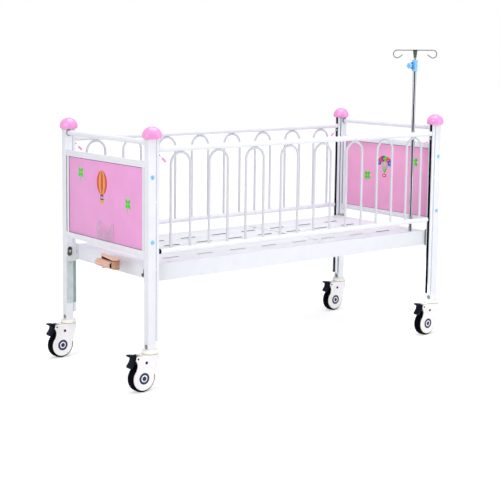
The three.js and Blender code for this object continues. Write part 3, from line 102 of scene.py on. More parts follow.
screw_box = reach("crank_screw")
CRANK_FACE = screw_box[0][0]
CRANK_Y = middle(screw_box[1])
CRANK_Z = middle(screw_box[2])
arm_box = reach("crank_arm")
BOSS_R = 18.5
BOSS = (arm_box[0][0] + BOSS_R, arm_box[1][0] + BOSS_R)
ARM_TOP = arm_box[2][1]
GRIP_Z = ARM_TOP - 35

pole_box = reach("drip_pole_tube")
POLE = (middle(pole_box[0]), middle(pole_box[1]))
POLE_R = half(pole_box[0])
POLE_TOP = pole_box[2][1]
CLAMP_SPAN = reach("drip_pole_clamp")[2]
CLAMP_Z = middle(CLAMP_SPAN)
HOOK_TOP = reach("drip_hook_rod")[2][1]


# Shader nodes

def feed(tree, target, inputs):
    """Give each input of a node a constant or the socket that drives it."""
    for key, value in inputs.items():
        if isinstance(value, bpy.types.NodeSocket):
            tree.links.new(value, target.inputs[key])
        else:
            target.inputs[key].default_value = value
    return target


def node(tree, kind, inputs):
    return feed(tree, tree.nodes.new(kind), inputs)


def ramp(tree, value, start, stop, low, high):
    """A value that runs from start to stop, spread over low to high."""
    inputs = {"Value": value, "From Min": start, "From Max": stop, "To Min": low, "To Max": high}
    return node(tree, "ShaderNodeMapRange", inputs).outputs["Result"]


def combine(tree, operation, a, b):
    both = node(tree, "ShaderNodeMath", {0: a, 1: b})
    both.operation = operation
    return both.outputs["Value"]


def mix(tree, amount, a, b):
    blend = tree.nodes.new("ShaderNodeMix")
    blend.data_type = "RGBA"
    return feed(tree, blend, {0: amount, 6: a, 7: b}).outputs[2]


# Materials, with colours of 0 to 255

DUST = (0.30, 0.28, 0.26, 1)
DUST_HEIGHT = 0.16
COAT_ROUGHNESS = 0.08
RELIEF_DEPTH = 0.001


def linear(v):
    v /= 255
    return v / 12.92 if v <= 0.04045 else ((v + 0.055) / 1.055) ** 2.4


def material(name, colour, rough, metal=0.0, tone=0.03, scale=60.0, grain=600.0, bump=0.1, spread=0.05,
             coat=0.0, shine=0.5, alpha=1.0, streaks=(1, 1, 1), dust=0.0, wear=0.0):
    """A finish with a slow drift of tone, a spread of roughness and a fine relief; scales are per metre."""
    finish = bpy.data.materials.new(name)
    finish.use_nodes = True
    tree = finish.node_tree
    place = tree.nodes.new("ShaderNodeTexCoord").outputs["Object"]
    stretched = node(tree, "ShaderNodeMapping", {"Vector": place, "Scale": streaks}).outputs["Vector"]

    def tint(factor, lift=0.0):
        return tuple(min(linear(c) * factor + lift, 1) for c in colour) + (1,)

    def noise(vector, per_metre, detail):
        inputs = {"Vector": vector, "Scale": per_metre, "Detail": detail}
        return node(tree, "ShaderNodeTexNoise", inputs).outputs["Fac"]

    drift = noise(stretched, scale, 4.0)
    base = mix(tree, ramp(tree, drift, 0.3, 0.7, 0, 1), tint(1 - 2 * tone), tint(1 + tone))
    if dust:
        height = node(tree, "ShaderNodeSeparateXYZ", {"Vector": place}).outputs["Z"]
        near_floor = ramp(tree, height, 0.0, DUST_HEIGHT, 1.0, 0.15)
        specks = ramp(tree, noise(place, 90.0, 6.0), 0.42, 0.7, 0.0, dust)
        base = mix(tree, combine(tree, "MULTIPLY", near_floor, specks), base, DUST)
    if wear:
        edge = tree.nodes.new("ShaderNodeNewGeometry").outputs["Pointiness"]
        base = mix(tree, ramp(tree, edge, 0.53, 0.6, 0.0, wear), base, tint(1.25, 0.05))
    smoothest = max(rough - spread, 0.02)
    fine = noise(stretched, grain, 3.0)
    relief = node(tree, "ShaderNodeBump", {"Strength": bump, "Distance": RELIEF_DEPTH, "Height": fine})
    feed(tree, tree.nodes["Principled BSDF"], {
        "Base Color": base, "Metallic": metal, "Specular IOR Level": shine, "Alpha": alpha,
        "Coat Weight": coat, "Coat Roughness": COAT_ROUGHNESS, "Normal": relief.outputs["Normal"],
        "Roughness": ramp(tree, drift, 0.25, 0.75, smoothest, rough + spread)})
    return finish


WHITE = material("white_powder_coat", (238, 240, 247), 0.36, tone=0.012, scale=18, bump=0.05, shine=0.35)
# Painted shade: a greyer copy of the white powder coat for the arched bars and their beads
BAR_IN_SHADE = material("white_bar_coat_in_painted_shade", (216, 218, 226), 0.4, tone=0.015, scale=18, bump=0.05, shine=0.15)
# Painted shade: white paint greyed, for the foot corner brackets
GREY_IN_SHADE = material("grey_painted_shade", (226, 230, 234), 0.45, scale=40, bump=0.08, shine=0.35)
# Painted shade along joints: dark where a joint lies in shade, pale where the light reaches it
DARK_JOINT_SHADE = material("dark_joint_painted_shade", (104, 118, 120), 0.6, tone=0.1, scale=40, shine=0.1)
PALE_JOINT_SHADE = material("pale_joint_painted_shade", (196, 205, 212), 0.6, tone=0.06, scale=40, shine=0.1)
GROOVE = material("post_groove", (202, 212, 213), 0.5, tone=0.05, scale=40, shine=0.15)
# Painted shade: a darker copy of the groove's colour for the channel's side in the corner
GROOVE_SIDE_SHADE = material("post_groove_side_painted_shade", (156, 172, 173), 0.5, tone=0.06, scale=40, shine=0.15)
SHELL = material("white_moulding", (250, 247, 250), 0.4, tone=0.015, scale=30, grain=900, bump=0.06,
                 shine=0.35, dust=0.05)
# Painted shade: a darker yellowish band along the rounded edge of each castor cover
RIM_SHADE = material("moulding_edge_painted_shade", (226, 222, 206), 0.45, tone=0.02, scale=30, grain=900, bump=0.06)
CREAM = material("cream_moulding", (253, 250, 244), 0.4, tone=0.02, scale=30, grain=900, bump=0.06)
OLIVE = material("collar_seal", (168, 164, 134), 0.6, tone=0.08, shine=0.15)
PINK = material("pink_moulding", (248, 153, 220), 0.14, scale=18, bump=0.01, coat=0.7)
CLAW = material("pale_pink_sleeve", (250, 182, 238), 0.4, bump=0.03)
PANEL = material("pink_laminate", (244, 169, 225), 0.42, scale=9, grain=1400, bump=0.08, shine=0.3)
# Painted light: a lighter copy of the pink laminate for the head panel, which lies in shade inside the cot
HEAD_PANEL_LIGHTER = material("pink_laminate_painted_light", (249, 174, 219), 0.42, scale=9, grain=1400, bump=0.08,
                      shine=0.3)
# Painted shade: a dark line round each end panel, where the frame shades it
EDGE_LINE_SHADE = material("panel_edge_shade", (136, 104, 130), 0.6, tone=0.08, shine=0.1)
CLEAR = material("clear_acrylic", (238, 224, 240), 0.12, tone=0.01, scale=18, bump=0.02, alpha=0.06)
# Painted highlight: paler, nearly opaque acrylic for the bright edges of the chart holder
ACRYLIC_EDGE_HIGHLIGHT = material("acrylic_edge_painted_highlight", (246, 228, 246), 0.15, tone=0.02, scale=18, bump=0.02, alpha=0.7)
BLUE = material("blue_moulding", (132, 204, 253), 0.26, tone=0.05, bump=0.03)
# Painted shade: a darker copy of the blue moulding for the clamp's lug
BLUE_IN_SHADE = material("blue_moulding_painted_shade", (72, 150, 240), 0.3, tone=0.05, bump=0.03)
NAVY = material("hub_disc", (40, 54, 84), 0.45, tone=0.08, shine=0.3)
RED = material("red_screw", (188, 44, 96), 0.4, tone=0.06, scale=80, bump=0.05)
COPPER = material("copper_moulding", (240, 190, 172), 0.34, tone=0.06, scale=40, bump=0.06, wear=0.4)
# Painted shade: a darker copy of the copper for the boss discs below the lid and the grip's eye ring
COPPER_IN_SHADE = material("copper_boss_painted_shade", (196, 152, 122), 0.4, tone=0.08, scale=40, bump=0.06, wear=0.3)
# Painted shadow: near-black copper for the shade under the lid, between the boss's ribs and in the grip's
# flutes
COPPER_SHADOW = material("copper_painted_shadow", (104, 46, 32), 0.5, tone=0.1, bump=0.08, shine=0.1)
BLACK = material("black_moulding", (18, 23, 36), 0.55, tone=0.12, scale=50, bump=0.15, shine=0.07, wear=0.12)
TYRE = material("tyre_rubber", (7, 8, 20), 0.8, tone=0.15, scale=40, bump=0.2, shine=0.02, dust=0.012)
# Painted shade in the deck slots: dark, and paler for the front row where the light falls
SLOT_SHADE = material("slot_painted_shade", (92, 104, 98), 0.55, tone=0.1, shine=0.2)
SLOT_LIT_SHADE = material("pale_slot_painted_shade", (200, 196, 202), 0.55, tone=0.05, shine=0.2)
STEEL = material("pole_steel", (184, 186, 192), 0.1, metal=1.0, tone=0.06, scale=1.0, grain=8,
                 streaks=(75, 75, 0.7), bump=0.004, spread=0.03)
WIRE = material("hook_wire", (118, 120, 124), 0.4, metal=0.5, tone=0.1, bump=0.05)
BRIGHT = material("bright_zinc", (196, 198, 198), 0.36, metal=0.9, tone=0.08, bump=0.08)
ZINC = material("passivated_zinc", (150, 160, 154), 0.5, metal=0.4, tone=0.1, bump=0.12)
# Grey welds at the arch crowns and tube ends: partly weld metal, partly painted shade in the crevice
WELD = material("weld_metal_and_painted_shade", (146, 150, 150), 0.5, metal=0.5, tone=0.15, scale=120, bump=0.2)
IRON = material("dark_casting", (84, 90, 80), 0.55, metal=0.5, tone=0.2, scale=80, bump=0.25)
INK = {}
for ink, ink_colour, ink_tone in (
        ("red", (222, 52, 58), 0.06), ("yellow", (226, 176, 44), 0.06), ("green", (46, 214, 40), 0.06),
        ("black", (24, 22, 26), 0.1), ("white", (244, 240, 240), 0.03), ("blue", (34, 66, 214), 0.06),
        ("purple", (92, 38, 142), 0.06)):
    INK[ink] = material(f"print_{ink}", ink_colour, 0.42, tone=ink_tone, bump=0.05)


# Pieces: closed parts, each with its own material, that become one object on one body

class Piece:
    def __init__(self):
        self.materials, self.verts, self.faces, self.index = [], [], [], []

    def add(self, part, mat):
        verts, faces = part
        base = len(self.verts)
        if mat not in self.materials:
            self.materials.append(mat)
        self.verts += verts
        self.faces += [tuple(base + i for i in face) for face in faces]
        self.index += [self.materials.index(mat)] * len(faces)

    def shift(self, x, y):
        self.verts = [(a + x, b + y, c) for a, b, c in self.verts]

    def make(self, name, body, slot, replaces=(), bevel=0.0, sharp=38.0):
        mesh = bpy.data.meshes.new(name)
        mesh.from_pydata([((x + SHIFT) / 1000, y / 1000, z / 1000) for x, y, z in self.verts], [], self.faces)
        for mat in self.materials:
            mesh.materials.append(mat)
        mesh.polygons.foreach_set("material_index", self.index)
        mesh.update()
        obj = in_scene(name, mesh)
        face_outward(mesh)
        mesh.shade_smooth()
        mesh.set_sharp_from_angle(angle=math.radians(sharp))
        if bevel:
            round_edges(obj, bevel, sharp, segments=3, harden=True)
        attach(obj, body)
        if replaces:
            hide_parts(*replaces)


def in_scene(name, data):
    obj = bpy.data.objects.new(name, data)
    bpy.context.scene.collection.objects.link(obj)
    return obj


def face_outward(mesh):
    shape = bmesh.new()
    shape.from_mesh(mesh)
    bmesh.ops.recalc_face_normals(shape, faces=shape.faces)
    shape.to_mesh(mesh)
    shape.free()


def round_edges(obj, width, angle, segments, harden):
    edge = obj.modifiers.new("rounded_edges", "BEVEL")
    edge.width = width / 1000
    edge.segments = segments
    edge.limit_method = "ANGLE"
    edge.angle_limit = math.radians(angle)
    edge.harden_normals = harden


# Parts: lists of corners and faces

def stand(u, v, depth, axis):
    """A point of a flat outline at a depth along the axis that the outline faces."""
    return {"x": (depth, u, v), "y": (u, depth, v), "z": (u, v, depth)}[axis]


def skin(loops, closed=False):
    """Faces over loops of points. A loop of one point is a pole; closed joins the last loop to the first."""
    verts, numbers, faces = [], [], []
    for loop in loops:
        numbers.append(range(len(verts), len(verts) + len(loop)))
        verts += loop
    following = numbers[1:] + (numbers[:1] if closed else [])
    for a, b in zip(numbers, following):
        for k in range(max(len(a), len(b))):
            m = k + 1
            corners = (a[k % len(a)], a[m % len(a)], b[m % len(b)], b[k % len(b)])
            faces.append(tuple(dict.fromkeys(corners)))
    if not closed:
        faces += [tuple(loop) for loop in (numbers[0][::-1], numbers[-1]) if len(loop) > 1]
    return verts, faces


def sweep(points, radius, sides, closed=False):
    """A round bar along points; radius is one number or one for each point."""
    path = [Vector(p) for p in points]
    n = len(path)
    radii = radius if isinstance(radius, list) else [radius] * n

    def tangent(i):
        before = path[(i - 1) % n] if closed else path[max(i - 1, 0)]
        after = path[(i + 1) % n] if closed else path[min(i + 1, n - 1)]
        return (after - before).normalized()

    way = tangent(0)
    normal = way.orthogonal().normalized()
    loops = []
    for i in range(n):
        new = tangent(i)
        normal = way.rotation_difference(new).to_matrix() @ normal
        normal = (normal - new * normal.dot(new)).normalized()
        way = new
        side = way.cross(normal)
        angles = [2 * math.pi * k / sides for k in range(sides)]
        spokes = [radii[i] * (math.cos(a) * normal + math.sin(a) * side) for a in angles]
        loops.append([tuple(path[i] + spoke) for spoke in spokes])
    return skin(loops, closed)


def spindle(start, way, profile, sides):
    """A round form along way from start, with a profile of (distance, radius)."""
    return sweep([start + way * d for d, _ in profile], [r for _, r in profile], sides)


def turn(profile, centre, axis, sides, closed=False, sign=1, wave=None):
    """A profile of (radius, height) turned about an axis; sign flips it, wave changes the radius by angle."""
    loops = []
    for r, h in profile:
        loop = []
        for k in range(sides if r > 0 else 1):
            a = 2 * math.pi * k / sides
            wide = r * (wave(a) if wave else 1)
            place = stand(wide * math.cos(a), wide * math.sin(a), sign * h, axis)
            loop.append(tuple(c + p for c, p in zip(centre, place)))
        loops.append(loop)
    return skin(loops, closed)


def disc(radius, low, high):
    """The profile of a solid cylinder."""
    return [(0, low), (radius, low), (radius, high), (0, high)]


def box(left, right, low, high):
    """A rectangle; turned about an axis beside it, it gives a hollow cylinder."""
    return [(left, low), (right, low), (right, high), (left, high)]


def rings(outlines, axis, closed=False):
    """A skin over outlines of equal length, each with its own depth."""
    return skin([[stand(u, v, depth, axis) for u, v in outline] for outline, depth in outlines], closed)


def prism(outline, depths, axis="y"):
    """A flat outline given a thickness."""
    return rings([(outline, depth) for depth in sorted(depths)], axis)


def brick(x, y, z):
    return prism(box(*sorted(x), *sorted(z)), y)


def crowned(outline, steps, axis="y"):
    """A plate whose edge follows steps of (inset, depth)."""
    return rings([(inset(outline, i), d) for i, d in steps], axis)


# Outlines: lists of points in a plane

def arc(centre, radius, start, end, steps, rise=None):
    """Points of an arc, angles in degrees; an oval one has its second radius as rise."""
    high = rise or radius
    angles = [math.radians(start + (end - start) * i / steps) for i in range(steps + 1)]
    return [(centre[0] + radius * math.cos(a), centre[1] + high * math.sin(a)) for a in angles]


def bend(a, control, b, steps):
    """Points of a quadratic curve from a to b, without a itself."""
    def point(t):
        return tuple((1 - t) ** 2 * p + 2 * t * (1 - t) * q + t * t * r for p, q, r in zip(a, control, b))

    return [point(i / steps) for i in range(1, steps + 1)]


def rounded(u, v, r, steps):
    """A rectangle with round corners."""
    (u0, u1), (v0, v1) = u, v
    centres = ((u1 - r, v0 + r), (u1 - r, v1 - r), (u0 + r, v1 - r), (u0 + r, v0 + r))
    return [p for k, centre in enumerate(centres) for p in arc(centre, r, 90 * k - 90, 90 * k, steps)]


def inset(outline, depth):
    """An anticlockwise outline moved inwards along its corner normals."""
    out = []
    for k, (u, v) in enumerate(outline):
        before, after = outline[k - 1], outline[(k + 1) % len(outline)]
        way = Vector((after[0] - before[0], after[1] - before[1])).normalized()
        out.append((u - depth * way.y, v + depth * way.x))
    return out


# CAD nodes that stay: material, softened edges and smooth round faces

def soften(name, mat, width):
    join_gap, corner_angle = 0.00002, 32.0
    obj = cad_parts[name]
    obj.data.materials.clear()
    obj.data.materials.append(mat)
    weld = obj.modifiers.new("joined_corners", "WELD")
    weld.merge_threshold = join_gap
    if width:
        round_edges(obj, width, corner_angle, segments=2, harden=False)
    smooth = obj.modifiers.new("smooth_round_faces", "NODES")
    smooth.node_group = SMOOTH


def smooth_group():
    """Geometry nodes that shade edges of up to 35 degrees as round."""
    group = bpy.data.node_groups.new("smooth_by_angle", "GeometryNodeTree")
    for way in ("INPUT", "OUTPUT"):
        group.interface.new_socket("Geometry", in_out=way, socket_type="NodeSocketGeometry")
    start, end = group.nodes.new("NodeGroupInput"), group.nodes.new("NodeGroupOutput")
    angle = group.nodes.new("GeometryNodeInputMeshEdgeAngle").outputs["Unsigned Angle"]
    test = node(group, "FunctionNodeCompare", {0: angle, 1: math.radians(35)})
    test.operation = "LESS_EQUAL"
    inputs = {"Geometry": start.outputs[0], "Shade Smooth": test.outputs[0]}
    edges = node(group, "GeometryNodeSetShadeSmooth", inputs)
    edges.domain = "EDGE"
    faces = node(group, "GeometryNodeSetShadeSmooth", {"Geometry": edges.outputs[0]})
    faces.domain = "FACE"
    feed(group, end, {0: faces.outputs[0]})
    return group


SMOOTH = smooth_group()
for corner, sx, sy in CORNERS:
    soften(f"post_{corner}", WHITE, 0.5)
    # The same bracket stands at every corner: at the foot it is grey, white paint in painted shade; at the
    # head it is passivated zinc, whose darker look also stands for the shade between apron and post
    soften(f"corner_bracket_{corner}", GREY_IN_SHADE if sx < 0 else ZINC, 0.8)
    soften(f"pole_socket_{corner}", WHITE, 0.6)
for mat, width, names in (
        (WHITE, 0.8, ("front_apron", "back_apron", "foot_beam", "head_beam", "deck_cross_member")),
        (WHITE, 1.6, ("foot_end_frame", "head_end_frame")),
        (WHITE, 0.0, ("foot_top_tube", "head_top_tube", "hinge_tube", "push_tube")),
        (WHITE, 0.35, ("fixed_deck", "backrest_deck")), (PANEL, 0.8, ("foot_panel",)),
        (HEAD_PANEL_LIGHTER, 0.8, ("head_panel",)), (CLEAR, 0.5, ("chart_holder",)), (BLACK, 0.4, ("crank_bush",)),
        (ZINC, 0.6, ("backrest_lever",)), (ZINC, 1.2, ("lift_nut",))):
    for name in names:
        soften(name, mat, width)


# Screw heads

def dome(centre, axis, sign, radius, height, sides=24):
    """A round head with a short straight edge."""
    edge = 0.25 * height
    crown = arc((0, edge), radius, 0, 90, 6, height - edge)
    return turn([(0, 0), (radius, 0)] + crown[:-1] + [(0, height)], centre, axis, sides, sign=sign)


def flange(centre, axis, sign, edge, height, sides):
    """A flat round plate with a bevelled rim."""
    radius = 9.6
    profile = [(0, 0), (radius, 0), (radius, edge), (radius - 0.8, height), (0, height)]
    return turn(profile, centre, axis, sides, sign=sign)


def hex_bolt(piece, mat, centre, axis, sign, radius, height):
    """A washer and a hexagon head with a bevelled top."""
    washer, wide, flat = 1.0, 1.1 * radius, 0.9 * radius
    head = [(0, washer), (wide, washer), (wide, height - 1), (flat, height), (0, height)]
    piece.add(turn(disc(1.5 * radius, 0, washer), centre, axis, 28, sign=sign), mat)
    piece.add(turn(head, centre, axis, 6, sign=sign), mat)


# Post caps: a glossy dome with a rolled lip, hollow below

def cap(corner):
    x, y, (rim, top) = reach(f"post_cap_{corner}")
    radius, hollow, floor = half(y), 36.3, POST_TOP + 0.6
    tuck = 20
    sunk = math.sin(math.radians(tuck))
    crown = (top - rim) / (1 + sunk)
    lip = radius * math.cos(math.radians(tuck))
    profile = [(0, floor), (hollow, floor), (hollow, rim + 1.2), (hollow + 1.2, rim)]
    profile += [(lip - 1.2, rim), (lip - 0.2, rim + 0.7)]
    profile += arc((0, rim + crown * sunk), radius, -tuck, 90, 27, crown)[1:-1] + [(0, top)]
    piece = Piece()
    piece.add(turn(profile, (middle(x), middle(y), 0), "z", 72), PINK)
    piece.make(f"cap_{corner}", "frame", "pink_plastic", [f"post_cap_{corner}"], sharp=50)


# Fittings of the posts and their guide channels

def post_fittings(corner, sx, sy):
    """Blue screw caps, a plug at the bottom, a red screw in the cap and two stops beside the channel."""
    piece = Piece()
    x, y, face = sx * POST_X, sy * POST_Y, sy * (POST_Y + POST_HALF)
    for z in (933, 652):
        piece.add(flange((x, face, z), "y", sy, 0.9, 1.5, 32), BLUE)
        piece.add(dome((x, face + sy * 1.3, z), "y", sy, 8.0, 4.4), BLUE)
    plug_z = 194
    piece.add(flange((x - POST_HALF, y, plug_z), "x", -1, 0.8, 1.4, 28), IRON)
    piece.add(dome((x - POST_HALF - 1.2, y, plug_z), "x", -1, 6.6, 3.4, 20), ZINC)
    cap_x, cap_y, (rim, _) = reach(f"post_cap_{corner}")
    angle, surface = math.radians(168), half(cap_y) - 1.5
    head = [(surface + h, r) for h, r in ((-2.5, 3.4), (0.6, 3.4), (1.2, 2.8), (1.6, 1.6), (1.7, 0.3))]
    way = Vector((math.cos(angle), math.sin(angle), 0))
    piece.add(spindle(Vector((middle(cap_x), middle(cap_y), rim + 8)), way, head, 18), RED)
    bean = [(-5.5, 0.6), (-4.2, 1.7), (-2, 2.4), (2, 2.4), (4.2, 1.7), (5.5, 0.6)]
    for z in (826, 532):
        groove = Vector((sx * (POST_INNER - 1.5), sy * (POST_Y + 14.5), z))
        piece.add(spindle(groove, Vector((0, 0, 1)), bean, 12), WHITE)
    piece.make(f"post_fittings_{corner}", "frame", "blue_plastic")


def channel_liner(corner, sx, sy):
    """A black slide strip in the guide channel: back, two sides and a lip round the slot."""
    piece = Piece()
    cavity, slot = CHANNEL_HALF - 2.5, 5.2

    def strip(x, y):
        piece.add(brick([sx * v for v in x], [sy * POST_Y + v for v in y], CHANNEL_SPAN), BLACK)

    strip((POST_INNER - 0.7, POST_INNER - 0.1), (0.1 - cavity, cavity - 0.1))
    for side in (-1, 1):
        strip((CHANNEL_FACE + 2.7, POST_INNER - 0.8), (side * (cavity - 0.7), side * (cavity - 0.1)))
        strip((CHANNEL_FACE - 0.3, CHANNEL_FACE + 2.4), (side * slot, side * (slot + 0.7)))
        strip((CHANNEL_FACE - 0.5, CHANNEL_FACE - 0.1), (side * slot, side * (slot + 2.2)))
    piece.make(f"channel_liner_{corner}", "frame", "black_plastic")


def channel_joint_shade(corner, sx, sy):
    """Painted shade along the joint on each side of the channel, next to the post: dark at the back head
    post, pale elsewhere.
    """
    joint = DARK_JOINT_SHADE if corner == "back_head" else PALE_JOINT_SHADE
    piece = Piece()
    x = [sx * (POST_INNER - v) for v in (0.1, 6.0)]
    for side in (-1, 1):
        y = [sy * POST_Y + side * (CHANNEL_HALF + v) for v in (-0.1, 0.3)]
        piece.add(brick(x, y, CHANNEL_SPAN), joint)
    piece.make(f"channel_joint_shade_{corner}", "frame", "white_paint")


def post_groove(corner, sx, sy):
    """The bare groove below the end panel, on the inner face of a foot post and along its channel; the strip
    on the channel's side is darker, painted shade in the corner.
    """
    piece = Piece()
    height = (262.0, 487.0)
    edge = POST_Y - CHANNEL_HALF
    for x, y, mat in (((POST_X - 18.6, POST_X + 17.6), (POST_SIDE, POST_SIDE - 0.3), GROOVE),
                      ((CHANNEL_FACE + 1, POST_INNER - 1), (edge - 0.32, edge - 0.6), GROOVE_SIDE_SHADE)):
        piece.add(brick([sx * v for v in x], [sy * v for v in y], height), mat)
    piece.make(f"post_groove_{corner}", "frame", "zinc")


# End boards: painted shade round the panel, the chart holder's edge, tube welds and a screw in each beam

def panel_edge_shade(end, window_face, panel_face):
    """Painted shade: a dark line round the panel, widest under the top rail, and a darker line in the joint
    between each stile and its post.
    """
    piece = Piece()
    way = math.copysign(1, window_face - panel_face)
    band = [panel_face + way * v for v in (0.02, 0.6)]
    joint = [window_face + way * v for v in (0.02, 0.5)]
    wide, low, high = 312.0, 611.0, 972.0
    for y, z in (((-wide, wide), (high - 3.5, high)), ((-wide, wide), (low, low + 1.5)),
                 ((-wide, 2.5 - wide), (low, high)), ((wide - 2.5, wide), (low, high))):
        piece.add(brick(band, y, z), EDGE_LINE_SHADE)
    for side in (-1, 1):
        piece.add(brick(joint, [side * (POST_SIDE - v) for v in (4.5, 0.1)], (low, high)), DARK_JOINT_SHADE)
    piece.make(f"panel_edge_shade_{end}", "frame", "pink_panel")


def chart_rim():
    """Painted highlight along the edge of the chart holder's notched front, its sides and its finger hole."""
    (face, _), width, height = reach("chart_holder")
    x, y, side = face + 1.3, middle(width), half(width) - 1
    low, high, notch, hole = height[0] + 1.3, height[1] - 1.3, 663.0, 633.3
    right = [(42, notch), (56, high), (side, high), (side, low)]
    edge = [(-v, z) for v, z in right[::-1]] + right
    piece = Piece()
    piece.add(sweep([(x, y + v, z) for v, z in edge], 1.2, 10), ACRYLIC_EDGE_HIGHLIGHT)
    piece.add(sweep([(x, v, z) for v, z in arc((y, hole), 11.5, 0, 348, 29)], 0.9, 8, closed=True), ACRYLIC_EDGE_HIGHLIGHT)
    piece.make("chart_rim", "frame", "clear_acrylic")


def tube_flanges(end, sx):
    """A welded ring where each end of the top tube meets its post, grey, partly weld metal and partly painted
    shade.
    """
    piece = Piece()
    profile = [(12.6, -6), (14.2, -5), (15.4, -2.6), (15.4, -0.4), (12.6, -0.4)]
    for sy in (-1, 1):
        place = (sx * POST_X, sy * POST_SIDE, POST_TOP - 32)
        piece.add(turn(profile, place, "y", 32, closed=True, sign=sy), WELD)
    piece.make(f"tube_flanges_{end}", "frame", "white_paint")


def beam_screws(end, sx):
    piece = Piece()
    hex_bolt(piece, IRON, (sx * BEAM_FACE, -234.0, 485), "x", sx, 5.0, 5.0)
    piece.make(f"beam_screws_{end}", "frame", "zinc", bevel=0.4)


# Corner brackets: a hooked casting whose eye is a black disc of painted shade, and bolts

def bracket_fittings(corner, sx, sy):
    piece = Piece()
    x, plate = sx * 891.0, sy * (POST_SIDE - 6.3)
    back = plate - sy * 5.0
    hook = arc((x, 526), 11, -20, 200, 16) + arc((x + sx * 1.5, 505), 11.5, 170, 350, 14)
    piece.add(prism(hook, (plate, back)), IRON)
    # A black disc: painted shade for the hole of the eye
    piece.add(turn(disc(4.6, 0, 0.5), (x + sx * 2, back, 530), "y", 24, sign=-sy), BLACK)
    hex_bolt(piece, BRIGHT, (x + sx, back, 516), "y", -sy, 4.0, 4.0)
    hex_bolt(piece, BRIGHT, (sx * (POST_X - 0.5), sy * (POST_SIDE - 0.1), 455), "y", -sy, 5.0, 4.0)
    hex_bolt(piece, BRIGHT, (sx * (BEAM_FACE + 7.5), sy * 321.5, 510), "x", sx, 3.2, 3.0)
    piece.make(f"bracket_fittings_{corner}", "frame", "zinc", bevel=0.5)


for corner, sx, sy in CORNERS:
    cap(corner)
    post_fittings(corner, sx, sy)
    channel_liner(corner, sx, sy)
    channel_joint_shade(corner, sx, sy)
    if sx < 0:
        post_groove(corner, sx, sy)
for end, sx in ENDS:
    tube_flanges(end, sx)
    beam_screws(end, sx)
chart_rim()
panel_edge_shade("foot", FOOT_FACE - 3, FOOT_FACE)
panel_edge_shade("head", HEAD_FACE - 9, HEAD_FACE)
for corner, sx, sy in CORNERS:
    bracket_fittings(corner, sx, sy)


# Deck: a dark edge strip of painted shade in each slot and a lip over the hinge

def slot_shades(name, body, first, count):
    """A dark edge strip in each slot, painted shade for the dark slot; in the row nearest the front it is
    paler, where the light falls.
    """
    piece = Piece()
    long, wide, pitch, rows, lit_end = 44.0, 4.5, 190.0, (-240.0, -109.0, 22.0, 153.0), 600
    steps = [(-1.6, 0.05), (-1.6, 0.6), (-1.0, 1.0), (0.7, 1.0), (0.7, -3.0), (0.1, -3.0), (0.1, 0.05)]
    for x in [first + pitch * k for k in range(count)]:
        for y in rows:
            slot = rounded((x - long, x + long), (y - wide, y + wide), wide - 0.01, 5)
            mat = SLOT_LIT_SHADE if y == rows[0] and x < lit_end else SLOT_SHADE
            piece.add(rings([(inset(slot, i), DECK_TOP + z) for i, z in steps], "z", closed=True), mat)
    piece.make(name, body, "black_plastic", sharp=50)


def deck_lip():
    """A rolled edge of the fixed deck over the hinge tube, open at the knuckles and the lever."""
    piece = Piece()
    start, end, under, over = 136.0, 158.6, DECK_TOP - 2.4, DECK_TOP - 0.4
    nose = arc((end, middle((under, over))), half((under, over)), -90, 90, 8)
    for span in ((-318, -226), (-174, -56), (8, 174), (226, 318)):
        piece.add(prism([(start, under), (end, under)] + nose + [(start, over)], span), WHITE)
    piece.make("deck_lip", "frame", "white_paint")


slot_shades("slot_shades_fixed", "frame", -700, 5)
slot_shades("slot_shades_backrest", "backrest", 250, 3)
deck_lip()


# Drop rails: tubes, arched bars with weld beads, end plugs, shoes and the ears of the latches

def arch(piece, x):
    """A bar bent over at the top, with a bead round each foot and a grey weld at each side of its crown,
    partly weld metal and partly painted shade under the tube.
    """
    foot, crown = RAIL_BOTTOM + RAIL_R, RAIL_TOP - RAIL_R
    bow = [(x + u, 0, ARCH_CENTRE + v) for u, v in arc((0, 0), ARCH_R, 0, 180, 28)]
    piece.add(sweep([(x + ARCH_R, 0, foot - 1)] + bow + [(x - ARCH_R, 0, foot - 1)], ROD_R, 16), BAR_IN_SHADE)
    for side in (-1, 1):
        bead = arc((x + side * ARCH_R, 0), ROD_R + 0.3, 0, 345, 23)
        piece.add(sweep([(u, v, foot - 0.2) for u, v in bead], 1.1, 8, closed=True), BAR_IN_SHADE)
        weld = [(x + u, side * v, crown + w) for u, v, w in ((-9, 3.2, -0.3), (0, 3.4, 0.1), (9, 3.2, -0.3))]
        piece.add(sweep(weld, [0.6, 2.0, 0.6], 8), WELD)


def rail_end(piece, sx, z, end, shoe, plug):
    """A plug in the tube, a tongue through the channel's slot and the shoe behind it."""
    rim = [(0, -6), (10.3, -6), (10.3, 0), (11.8, 0), (11.8, 0.7), (9.5, 1.2), (0, 1.3)]
    tongue = (sx * (end + 1), sx * (CHANNEL_FACE + 5.5))
    shoe_x = (sx * (CHANNEL_FACE + 3.6), sx * (POST_INNER - 1.1))
    shoe_top = z + 11.5
    piece.add(turn(rim, (sx * end, 0, z), "x", 32, sign=sx), plug)
    piece.add(brick(tongue, (-4.5, 4.5), (z - 9, z + 9)), BLACK)
    piece.add(brick(shoe_x, (-9.9, 9.9), (shoe_top - shoe, shoe_top)), BLACK)


